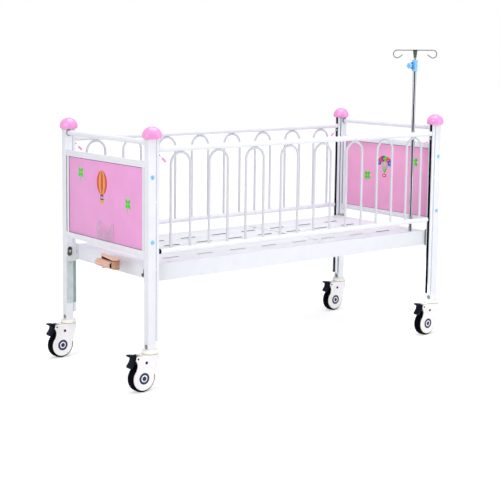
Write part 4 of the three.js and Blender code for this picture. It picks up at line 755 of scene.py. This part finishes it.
def latch_ears(piece, sx):
    """Two ears on the upper tongue and the pin that the latch turns on."""
    x, tail, radius = sx * LATCH_X, sx * (CHANNEL_FACE + 4.5), 4.6
    outline = arc((x, LATCH_Z), radius, 90 * sx, 90 * sx + 180, 10)
    outline += [(tail, LATCH_Z - sx * radius), (tail, LATCH_Z + sx * radius)]
    for face in (-1, 1):
        piece.add(prism(outline, (face * 2.9, face * 4.7)), BRIGHT)
    rivet = [(0, -5.6), (2.8, -5.6), (2.8, -4.7), (2.0, -4.7)]
    rivet += [(r, -h) for r, h in rivet[::-1]]
    piece.add(turn(rivet, (x, 0, LATCH_Z), "y", 16), BRIGHT)


def rail(row, sy):
    piece = Piece()
    upper, lower = CHANNEL_FACE - 2, CHANNEL_FACE - 14
    for z, end, shoe, plug in ((RAIL_TOP, upper, 105, WHITE), (RAIL_BOTTOM, lower, 60, BLACK)):
        edge = [(10.5, -end), (12.0, -end), (RAIL_R, 0.6 - end)]
        tube = edge + [(r, -h) for r, h in edge[::-1]]
        piece.add(turn(tube, (0, 0, z), "x", 32, closed=True), WHITE)
        for sx in (-1, 1):
            rail_end(piece, sx, z, end, shoe, plug)
    for i in range(ARCH_COUNT):
        arch(piece, (i - (ARCH_COUNT - 1) / 2) * ARCH_PITCH)
    for sx in (-1, 1):
        latch_ears(piece, sx)
    piece.shift(0, sy * POST_Y)
    piece.make(f"rail_{row}", f"{row}_rail", "white_paint", [f"{row}_rail"])


def latch(row, end, sx, sy):
    """An eye on the pin, a wire rod and a soft-touch tip."""
    slope = math.radians(42)
    way = Vector((-sx * math.cos(slope), 0, -math.sin(slope)))
    pin = Vector((sx * LATCH_X, sy * POST_Y, LATCH_Z))
    wide, neck = 5.7, 5.0
    tip = [(24.0, 3.4), (24.6, neck), (26, wide), (29, wide), (29.8, neck), (30.6, wide), (33.4, wide),
           (34.2, neck), (35, wide), (43, wide), (47, 4.8), (48.6, 3.0), (49, 0.6)]
    piece = Piece()
    piece.add(turn(box(2.5, LATCH_EYE, -2.4, 2.4), pin, "y", 24, closed=True), WHITE)
    piece.add(spindle(pin, way, [(4.0, 1.7), (24.0, 1.7)], 14), WHITE)
    piece.add(spindle(pin, way, tip, 20), CLAW)
    piece.make(f"latch_{row}_{end}", f"{row}_{end}_latch", "pink_plastic", [f"{row}_latch_{end}"])


for row, sy in ROWS:
    rail(row, sy)
    for end, sx in ENDS:
        latch(row, end, sx, sy)


# Castors: a shell with two covers and a collar, a wheel and a brake pedal

def shell_outline():
    cover_r, cover_start, cover_end = 53, 138, 368
    front, hood, waist = 33.0, 82.0, SHELL_TOP - 37
    cover = arc(AXLE, cover_r, cover_start, cover_end, 60)
    left = [(-hood + 2, SHELL_TOP), (-hood, SHELL_TOP - 2), (-hood - 4, SHELL_TOP - 18.5)]
    left += bend(left[-1], (cover[0][0] + 14, waist), cover[0], 12)
    right = bend(cover[-1], (front - 3, waist), (front, SHELL_TOP - 3), 16)
    return left + cover[1:] + right + [(front - 3, SHELL_TOP)]


def hood_outline(outline):
    """The filling between the covers above the wheel."""
    back, well = -58.0, WHEEL_R + 2.1
    right = [p for p in outline if p[0] > back and p[1] > 64 and math.dist(p, AXLE) > well]
    right.sort(key=lambda p: p[1])
    first = math.degrees(math.acos((back - AXLE[0]) / well))
    last = math.degrees(math.atan2(right[0][1] - AXLE[1], right[0][0] - AXLE[0])) + 1
    return right + [(back, SHELL_TOP)] + arc(AXLE, well, first, last, 24)


def castor_shell():
    piece = Piece()
    outline, cover = shell_outline(), 23.3
    piece.add(prism(hood_outline(outline), (-20.2, 20.2)), SHELL)
    collar = [(0, 163), (33, 163), (33.5, 165.5), (35.2, 166.4), (35.5, 168), (35.5, 177), (34.6, 179.6),
              (32.6, 181.4), (30.5, 182), (0, 182)]
    stem = [(0, 181), (15, 181), (15, 251), (13.5, 252), (0, 252)]
    band = box(32, 35.4, SHELL_TOP - 0.2, SHELL_TOP + 2.2)
    piece.add(turn(collar, (0, 0, 0), "z", 64), CREAM)
    piece.add(turn(band, (0, 0, 0), "z", 64, closed=True), OLIVE)
    piece.add(turn(stem, (0, 0, 0), "z", 28), ZINC)
    for (x, z), radius, sides in ((AXLE, 6, 24), (PEDAL_PIN, 4, 20)):
        piece.add(turn(disc(radius, -22, 22), (x, 0, z), "y", sides), ZINC)
    edge = [(0, 20), (0, 20.9), (0.5, 22.2), (1.6, 23.2), (3.4, 23.8), (5.6, 24), (7.2, 24), (8.2, 23.5)]
    rim = [(-0.06, 20), (-0.06, 20.9), (0.44, 22.26), (1.54, 23.26), (1.7, 23), (1.7, 20)]
    hub = (
        ([(0, 0), (25.5, 0), (25.5, 0.7), (24.7, 1.0), (16.2, 1.0), (15.6, 0.6), (0, 0.6)], NAVY),
        ([(0, 0.4), (15.4, 0.4), (15.2, 0.9), (10.8, 1.1), (0, 1.1)], SHELL),
        ([(0, 0.9), (10.2, 0.9), (10.2, 1.5), (9.2, 2.0), (0, 2.1)], NAVY))
    for face in (-1, 1):
        # The outer band of each cover's edge is painted shade on the rounded rim
        for steps, mat in ((edge, SHELL), (rim, RIM_SHADE)):
            piece.add(crowned(outline, [(i, face * d) for i, d in steps]), mat)
        for profile, mat in hub:
            piece.add(turn(profile, (AXLE[0], face * cover, AXLE[1]), "y", 48, sign=face), mat)
        piece.add(dome((-32, face * cover, 131), "y", face, 6.6, 2.0), BLACK)
        piece.add(dome((PEDAL_PIN[0], face * 22.9, PEDAL_PIN[1]), "y", face, 4.8, 2.0, 20), BLACK)
    return piece


def castor_wheel():
    piece = Piece()
    shoulder, centre = 9.0, (AXLE[0], 0, AXLE[1])
    tyre = [(44, 1.5 - WHEEL_HALF), (47, -WHEEL_HALF)]
    tyre += arc((WHEEL_R - shoulder, shoulder - WHEEL_HALF), shoulder, -90, 0, 9)
    tyre += [(WHEEL_R, -2.2), (WHEEL_R - 0.7, -1.6), (WHEEL_R - 0.7, -1.0), (WHEEL_R, -0.4)]
    core = [(6.4, -18), (14, -18), (16, -11), (40, -11), (44.2, -16)]
    for profile, sides, mat in ((tyre, 80, TYRE), (core, 48, BLACK)):
        profile += [(r, -h) for r, h in profile[::-1]]
        piece.add(turn(profile, centre, "y", sides, closed=True), mat)
    return piece


def pedal_outline():
    path = arc((-110.0, 167.0), 3.9, 80, 262, 10)
    path += bend(path[-1], (-100, 161.5), (-96, 154), 6)
    foot = arc(PEDAL_PAD, PAD_R, 158, 322, 14)
    path += bend(path[-1], (-97, 138), foot[0], 7) + foot[1:]
    eye = arc(PEDAL_PIN, 10, -72, 100, 16)
    path += bend(path[-1], (-89, 128), eye[0], 6) + eye[1:]
    return path + bend(path[-1], (-90, 170.5), (-107, 170.9), 7)


def castor_pedal():
    """A rocker with ribs on its upper plate and on its lower pad."""
    piece = Piece()
    piece.add(prism(pedal_outline(), (-14.5, 14.5)), BLACK)
    ribs = [(-108 + 6 * i, 170.3 - 0.12 * i * i) for i in range(4)] + arc(PEDAL_PAD, PAD_R, 165, 213, 2)
    for x, z in ribs:
        piece.add(sweep([(x, -11, z), (x, 11, z)], 0.9, 8), BLACK)
    return piece


def castor(corner, sx, sy):
    shell, wheel, pedal = castor_shell(), castor_wheel(), castor_pedal()
    for piece in (shell, wheel, pedal):
        piece.shift(sx * POST_X, sy * POST_Y)
    shell.make(f"castor_{corner}", f"{corner}_castor", "white_plastic", [f"castor_{corner}_shell"], sharp=48)
    wheel.make(f"wheel_{corner}", f"{corner}_wheel", "tyre", [f"castor_{corner}_wheel"])
    pedal.make(f"pedal_{corner}", f"{corner}_pedal", "black_plastic", [f"castor_{corner}_pedal"],
               bevel=1.4, sharp=40)


for corner, sx, sy in CORNERS:
    castor(corner, sx, sy)


# Lift screw with its thread and collar

def screw():
    piece = Piece()
    axis = (0, CRANK_Y, CRANK_Z)
    start, end, core, pitch, steps = -815.0, -594.0, 7.4, 6, 16
    thread = [(0, start - 1), (core, start - 1), (core, end), (core - 1, end + 2), (0, end + 2)]
    piece.add(turn(disc(9, CRANK_FACE + 0.4, start), axis, "x", 28), STEEL)
    piece.add(turn(thread, axis, "x", 28), STEEL)
    turns = int((end - start) / pitch)
    circles = arc((CRANK_Y, CRANK_Z), core + 0.2, 0, 360 * turns, steps * turns)
    helix = [(start + pitch * i / steps, y, z) for i, (y, z) in enumerate(circles)]
    piece.add(sweep(helix, 1.35, 6), STEEL)
    piece.add(turn(disc(13, -826.5, -823), axis, "x", 28), BRIGHT)
    piece.make("lift_screw", "crank", "steel", ["crank_screw"])


# Crank: a lipped arm, a hub and a boss with two discs; the ribbed grip folds on the pin

def crank_arm():
    piece = Piece()
    boss, end = BOSS[1], CRANK_Y + 15
    arm_low, lip_low, lip_top, front = 528, ARM_TOP - 7, ARM_TOP - 0.2, CRANK_FACE - 8
    piece.add(prism(rounded((boss, end), (arm_low, ARM_TOP), 7, 8), (front, CRANK_FACE), "x"), COPPER)
    shadow = box(boss + 12, end - 5, arm_low + 1, lip_low)
    # The dark strip under the lip is a painted shadow
    piece.add(prism(shadow, (front - 0.5, front + 1), "x"), COPPER_SHADOW)
    lip = [(CRANK_FACE - 0.2, end - 8), (CRANK_FACE - 16, end - 8)]
    lip += arc(BOSS, BOSS_R, 180, 360, 32) + [(CRANK_FACE - 0.2, boss)]
    piece.add(prism(lip, (lip_low, lip_top), "z"), COPPER)
    neck = rounded((CRANK_Y - 15, end - 8), (CRANK_Z, 544), 4, 4)
    piece.add(prism(neck, (front + 0.2, CRANK_FACE - 0.2), "x"), COPPER)
    hub = [(0, -0.2), (9.4, -0.2), (9.4, 14), (14, 14), (15, 13), (15, -7), (14, -8), (0, -8)]
    piece.add(turn(hub, (CRANK_FACE, CRANK_Y, CRANK_Z), "x", 40), COPPER)
    crank_boss(piece)
    piece.make("crank_handle_arm", "crank", "copper_plastic", ["crank_arm"], bevel=1.2, sharp=40)


def crank_boss(piece):
    """Two discs with a gap for the grip's eye, painted-shade lines for fine ribs on the upper one, a
    painted-shade ring under the lid and the pin through both; the discs are a darker copper, painted shade.
    """
    centre, bevelled = (*BOSS, 0), BOSS_R - 0.9
    top, low = ARM_TOP - 6, GRIP_Z - 12.8
    upper = [(0, GRIP_Z + 6.8), (bevelled, GRIP_Z + 6.8), (BOSS_R, GRIP_Z + 7.6), (BOSS_R, top), (0, top)]
    lower = [(0, low), (15.5, low), (bevelled, low + 1.2), (BOSS_R, low + 3.2), (BOSS_R, GRIP_Z - 7.6),
             (bevelled, GRIP_Z - 6.8), (0, GRIP_Z - 6.8)]
    for profile in (upper, lower):
        piece.add(turn(profile, centre, "z", 48), COPPER_IN_SHADE)
    for x, y in arc(BOSS, BOSS_R - 0.2, 0, 360, 16)[:-1]:
        piece.add(sweep([(x, y, GRIP_Z + 8), (x, y, ARM_TOP - 11)], 0.5, 6), COPPER_SHADOW)
    gap = box(BOSS_R - 1, BOSS_R + 0.45, ARM_TOP - 10.5, ARM_TOP - 7.1)
    piece.add(turn(gap, centre, "z", 48, closed=True), COPPER_SHADOW)
    piece.add(turn(disc(5, low - 0.1, ARM_TOP - 0.4), centre, "z", 24), BRIGHT)


def crank_grip():
    piece = Piece()
    x, radius, flute_count, start = BOSS[0], 17.5, 9, BOSS[1] + 26.5
    end, round_end = start + 124.0, 7
    profile = [(0, start), (14.5, start), (16.4, start + 1.0), (17.3, start + 3)]
    profile += [(radius, start + 6)] + arc((radius - 5, end - round_end), 5, 0, 90, 6, round_end)
    profile += [(8, end), (0, end)]

    def flutes(a):
        return 1 - 0.07 * max(0.0, math.cos(flute_count * a)) ** 5

    piece.add(turn(profile, (x, 0, GRIP_Z), "y", 14 * flute_count, wave=flutes), COPPER)
    for u, z in arc((x, GRIP_Z), 16.0, 0, 360, flute_count)[:-1]:
        # Dark lines of painted shade down the flutes
        piece.add(sweep([(u, start + 4, z), (u, end - 9, z)], 0.7, 8), COPPER_SHADOW)
    # The black end of the grip is painted shade for its open, hollow end
    throat = [(0, start - 7), (13.6, start - 7), (14.6, start - 6), (14.6, start + 0.4), (0, start + 0.4)]
    piece.add(turn(throat, (x, 0, GRIP_Z), "y", 40), BLACK)
    # The eye ring takes the darker copper of painted shade
    piece.add(turn(box(5.4, 18.0, -6.5, 6.5), (*BOSS, GRIP_Z), "z", 48, closed=True), COPPER_IN_SHADE)
    tongue = box(x - 8, x + 8, BOSS[1] + 16, start + 4)
    piece.add(prism(tongue, (GRIP_Z - 6.4, GRIP_Z + 6.4), "z"), COPPER)
    piece.make("crank_handle_grip", "grip", "copper_plastic", ["crank_grip"], bevel=0.154, sharp=45)


screw()
crank_arm()
crank_grip()


# Drip pole: outer tube, clamp, knob and the rod with its double hook

def pole_tube():
    piece = Piece()
    bore, low, top = POLE_R - 1.5, 472, POLE_TOP
    profile = [(bore, low), (POLE_R, low), (POLE_R, top - 0.8), (POLE_R - 0.8, top), (bore, top)]
    piece.add(turn(profile, (*POLE, 0), "z", 40, closed=True), STEEL)
    piece.make("pole_tube", "drip_pole", "steel", ["drip_pole_tube"])


def pole_clamp():
    """A sleeve with a rim at each end and a split lug with two bolts; the lug is a darker blue, painted
    shade.
    """
    piece = Piece()
    low, high = CLAMP_SPAN
    narrow, bore, step, lug_face = 7.0, POLE_R + 0.4, POLE_TOP + 0.6, POLE[0] - 22
    sleeve = [(bore, low), (13, low), (14, low + 1), (14, low + 7), (13.4, low + 8), (13.4, high - 8),
              (14, high - 7), (14, high - 1), (13, high), (narrow, high), (narrow, step), (bore, step)]
    piece.add(turn(sleeve, (*POLE, 0), "z", 48, closed=True), BLUE)
    lug = rounded((lug_face, POLE[0] - 11.5), (CLAMP_Z - 17, CLAMP_Z + 17), 5, 6)
    for face in (-1, 1):
        piece.add(prism(lug, (POLE[1] + face * 0.8, POLE[1] + face * 8)), BLUE_IN_SHADE)
        hex_bolt(piece, BLACK, (lug_face, POLE[1], CLAMP_Z + face * 11.5), "x", -1, 3.2, 3.6)
    piece.make("pole_clamp", "drip_pole", "blue_plastic", ["drip_pole_clamp"], bevel=0.8, sharp=40)


def pole_knob():
    """A five-lobed head on a stem."""
    piece = Piece()
    head, corners, lobes, largest, dip = [], 60, 5, 15.4, 3
    for k in range(corners):
        a = 2 * math.pi * k / corners
        r = largest - dip * (1 - math.cos(lobes * a)) / 2
        head.append((POLE[1] + r * math.cos(a), CLAMP_Z + r * math.sin(a)))
    edge = [(2.2, -45), (0.6, -44.2), (0, -42.6), (0, -33.4), (0.6, -31.8), (2.2, -31)]
    piece.add(crowned(head, [(i, POLE[0] + d) for i, d in edge], "x"), BLUE)
    stem = [(0, -31.2), (6.5, -31.2), (5.6, -27), (3.8, -26), (3.8, -12.4), (0, -12.4)]
    piece.add(turn(stem, (*POLE, CLAMP_Z), "x", 28), BLACK)
    piece.make("pole_knob", "drip_knob", "blue_plastic", ["drip_clamp_knob"], sharp=50)


def hook_wire():
    """One wire with a curl at each end, turned about the pole."""
    wire, tip, span, curl, tip_x = 2.5, 1.2, 91.0, 19.5, 62
    middle_z = HOOK_TOP - wire - curl
    side = [(u, 0, v) for u, v in arc((span, middle_z), curl, 90, -112, 30)]
    x, _, z = side[-1]
    side += [(x + (tip_x - x) * t, 0, z + (middle_z - 2.5 - z) * t) for t in (0.33, 0.66, 1.0)]
    path = [(-u, v, w) for u, v, w in side[::-1]] + side
    verts, faces = sweep(path, [tip] + [wire] * (len(path) - 2) + [tip], 16)
    spin = Matrix.Rotation(math.radians(-34.5), 3, "Z")
    spun = [spin @ Vector(v) for v in verts]
    return [(v.x + POLE[0], v.y + POLE[1], v.z) for v in spun], faces


def hook_rod():
    """The inner rod, the cone that holds the wire and the cap on top."""
    piece = Piece()
    rod = [(0, 826), (6, 826), (6.5, 826.6), (6.5, HOOK_TOP - 36), (0, HOOK_TOP - 36)]
    cone = [(0, -40), (7.2, -40), (7.8, -38), (7.6, -34), (10.8, -8), (11, -6), (11, -4), (0, -4)]
    lid = [(0, -5), (11, -5), (11, -0.8), (10.2, 0), (0, 0)]
    piece.add(turn(rod, (*POLE, 0), "z", 32), STEEL)
    piece.add(turn(cone, (*POLE, HOOK_TOP), "z", 40), IRON)
    piece.add(turn(lid, (*POLE, HOOK_TOP), "z", 40), BLACK)
    piece.add(hook_wire(), WIRE)
    piece.make("hook_rod", "drip_hooks", "steel", ["drip_hook_rod"])


pole_tube()
pole_clamp()
pole_knob()
hook_rod()


# Printed motifs on the panels: a balloon, a bouquet and clovers

def oval(a, b, dy=0.0, dz=0.0, tilt=0.0):
    c, s = math.cos(math.radians(tilt)), math.sin(math.radians(tilt))
    points = arc((0, 0), a, 0, 360, 28, b)[:-1]
    return [(dy + u * c - v * s, dz + u * s + v * c) for u, v in points]


def motif(piece, face, layers, y, z, scale):
    """Layers of print on a panel face that looks towards -X, each a little proud of the last."""
    for level, (colour, outline) in enumerate(layers):
        placed = [(y + scale * u, z + scale * v) for u, v in outline]
        piece.add(prism(placed, (face - 0.12 - 0.05 * level, face - 0.02), "x"), INK[colour])


def petals(colour, count, wide, long, radius, first, y=0.0, z=0.0):
    """Ovals round a point, each with its length along the radius."""
    places = arc((y, z), radius, first, first + 360, count)[:-1]
    return [(colour, oval(wide, long, *p, first + 360 * k / count + 90)) for k, p in enumerate(places)]


def clover():
    return petals("green", 4, 9, 13, 13, 45) + [("yellow", oval(5, 5)), ("green", oval(2, 12, 3, -26, 12))]


def balloon():
    layers = [("red", oval(30, 38, 0, 16)), ("yellow", oval(18, 37, 0, 16)), ("red", oval(7, 36.5, 0, 16))]
    basket = [("yellow", oval(11, 8, 0, -42)), ("black", oval(11.5, 2, 0, -36))]
    cords = [("black", oval(0.9, 7, side * 6, -30, side * -14)) for side in (-1, 1)]
    return layers + [("black", oval(9, 3, 0, -24))] + basket + cords


def bouquet():
    layers = []
    colours = ("blue", "red", "purple", "green", "red", "blue")
    for k, (y, z) in enumerate(arc((0, 0), 44, 30, 150, 5)):
        lean = -math.degrees(math.atan2(y * 0.9, z + 40))
        layers.append(("green", oval(1.2, 32, y * 0.45, z * 0.3 - 12, lean)))
        layers += petals(colours[k], 5, 6, 9, 8, 20 * k, y, z)
        layers.append(("yellow", oval(4, 4, y, z)))
    return layers + [("red", oval(14, 9, 0, -44)), ("white", oval(9, 3, 0, -44))]


prints = Piece()
motif(prints, FOOT_FACE, balloon(), 20, 850, 1.45)
motif(prints, FOOT_FACE, clover(), 205, 905, 1.05)
motif(prints, FOOT_FACE, clover(), -195, 800, 1.05)
motif(prints, HEAD_FACE, bouquet(), 13, 845, 1.05)
motif(prints, HEAD_FACE, clover(), 142, 790, 1.05)
motif(prints, HEAD_FACE, clover(), -205, 890, 1.05)
prints.make("panel_prints", "frame", "pink_panel")


# Camera at the photograph's place: lengths in heights of the cot, pixels of the photograph for the lens

def camera():
    height, photo, sensor = 1.150, 500, 36
    focal, centre_x, centre_y = 1175.576, 205.0, 187.0
    around, above, roll = [math.radians(degrees) for degrees in (-36.716, 6.9006, 0.4091)]
    aim = Matrix.Rotation(around, 4, "Z") @ Matrix.Rotation(math.pi / 2 - above, 4, "X")
    middle_of_cot = Matrix.Translation((SHIFT / 1000, 0, 0))
    place = Matrix.Translation(height * Vector((-0.23196, 0.68562, 5.15747)))
    data = bpy.data.cameras.new("camera")
    data.sensor_width = sensor
    data.lens = focal * sensor / photo
    data.shift_x = (photo / 2 - centre_x) / photo
    data.shift_y = (centre_y - photo / 2) / photo
    data.clip_end = 200
    obj = in_scene("camera", data)
    obj.matrix_world = middle_of_cot @ aim @ place @ Matrix.Rotation(roll, 4, "Z")
    bpy.context.scene.camera = obj


# Studio: white surroundings, a pale floor, a black card for the chrome and soft lamps; lengths in metres

def seen_directly(tree):
    """1 for rays from the camera, by reflection or through glass, 0 for light that falls on the object."""
    path = tree.nodes.new("ShaderNodeLightPath").outputs
    mirrored = combine(tree, "MAXIMUM", path["Is Camera Ray"], path["Is Glossy Ray"])
    return combine(tree, "MAXIMUM", mirrored, path["Is Transmission Ray"])


def surroundings():
    world = bpy.data.worlds.new("studio")
    bpy.context.scene.world = world
    world.use_nodes = True
    tree = world.node_tree
    light, picture = 0.32, 1.0
    strength = ramp(tree, seen_directly(tree), 0, 1, light, picture)
    feed(tree, tree.nodes["Background"], {"Color": (1, 1, 1, 1), "Strength": strength})


def sheet(name, corners, mat_name):
    """A flat sheet with a material of its own; gives the object and the material's nodes."""
    mesh = bpy.data.meshes.new(name)
    mesh.from_pydata(corners, [], [(0, 1, 2, 3)])
    mat = bpy.data.materials.new(mat_name)
    mat.use_nodes = True
    mesh.materials.append(mat)
    return in_scene(name, mesh), mat.node_tree


def pale_floor():
    """A floor that glows where it is seen, more so far away, and runs into the white behind."""
    size, near, far, dim, bright = 30, 1.0, 6.0, 0.45, 0.8
    corners = [(u, v, 0) for u, v in box(-size, size, -size, size)]
    floor, tree = sheet("floor", corners, "pale_floor")
    place = tree.nodes.new("ShaderNodeTexCoord").outputs["Object"]
    away = node(tree, "ShaderNodeVectorMath", {0: place})
    away.operation = "LENGTH"
    rise = ramp(tree, away.outputs["Value"], near, far, dim, bright)
    glow = combine(tree, "MULTIPLY", seen_directly(tree), rise)
    feed(tree, tree.nodes["Principled BSDF"], {
        "Base Color": (0.82, 0.82, 0.82, 1), "Roughness": 0.9, "Specular IOR Level": 0.1,
        "Emission Color": (1, 1, 1, 1), "Emission Strength": glow})


def black_card():
    """A card in front of the pole, seen only in reflections, that draws the dark stripe down the chrome."""
    wide, high = 1.6, 1.5
    corners = [(u, 0, v) for u, v in box(-wide, wide, 0, high)]
    card, tree = sheet("black_card", corners, "card_black")
    feed(tree, tree.nodes["Principled BSDF"], {"Base Color": (0.01, 0.01, 0.01, 1)})
    card.location = (-0.46, -1.61, 0.0)
    card.rotation_euler = (0, 0, math.radians(-44))
    card.visible_camera = card.visible_diffuse = card.visible_shadow = card.visible_transmission = False


def lamp(name, place, size, energy, target=(0, 0, 0.7), mirrored=True):
    """A soft rectangle of light that the camera doesn't see."""
    data = bpy.data.lights.new(name, "AREA")
    data.shape = "RECTANGLE"
    data.size, data.size_y = size
    data.energy = energy
    obj = in_scene(name, data)
    obj.location = place
    obj.rotation_euler = (Vector(target) - Vector(place)).to_track_quat("-Z", "Y").to_euler()
    obj.visible_camera = False
    obj.visible_glossy = mirrored


camera()
bpy.context.scene.view_settings.view_transform = "Standard"
surroundings()
pale_floor()
black_card()
lamp("front", (0.1, -2.6, 1.0), (4.4, 1.4), 14)
lamp("far_front", (1.5, -8.0, 0.8), (3.0, 1.2), 123, mirrored=False)
lamp("foot", (-7.0, -2.0, 2.6), (6.0, 4.0), 165)
lamp("top", (0.2, -0.2, 5.0), (3.6, 3.6), 128)
lamp("under", (0.2, -0.25, 0.3), (1.4, 0.25), 1.6, target=(0.3, 0.4, 0.2), mirrored=False)
lamp("left_spark", (-3.4, -1.0, 3.6), (0.6, 0.6), 20)
lamp("right_spark", (2.4, -3.6, 2.5), (0.6, 0.6), 18)
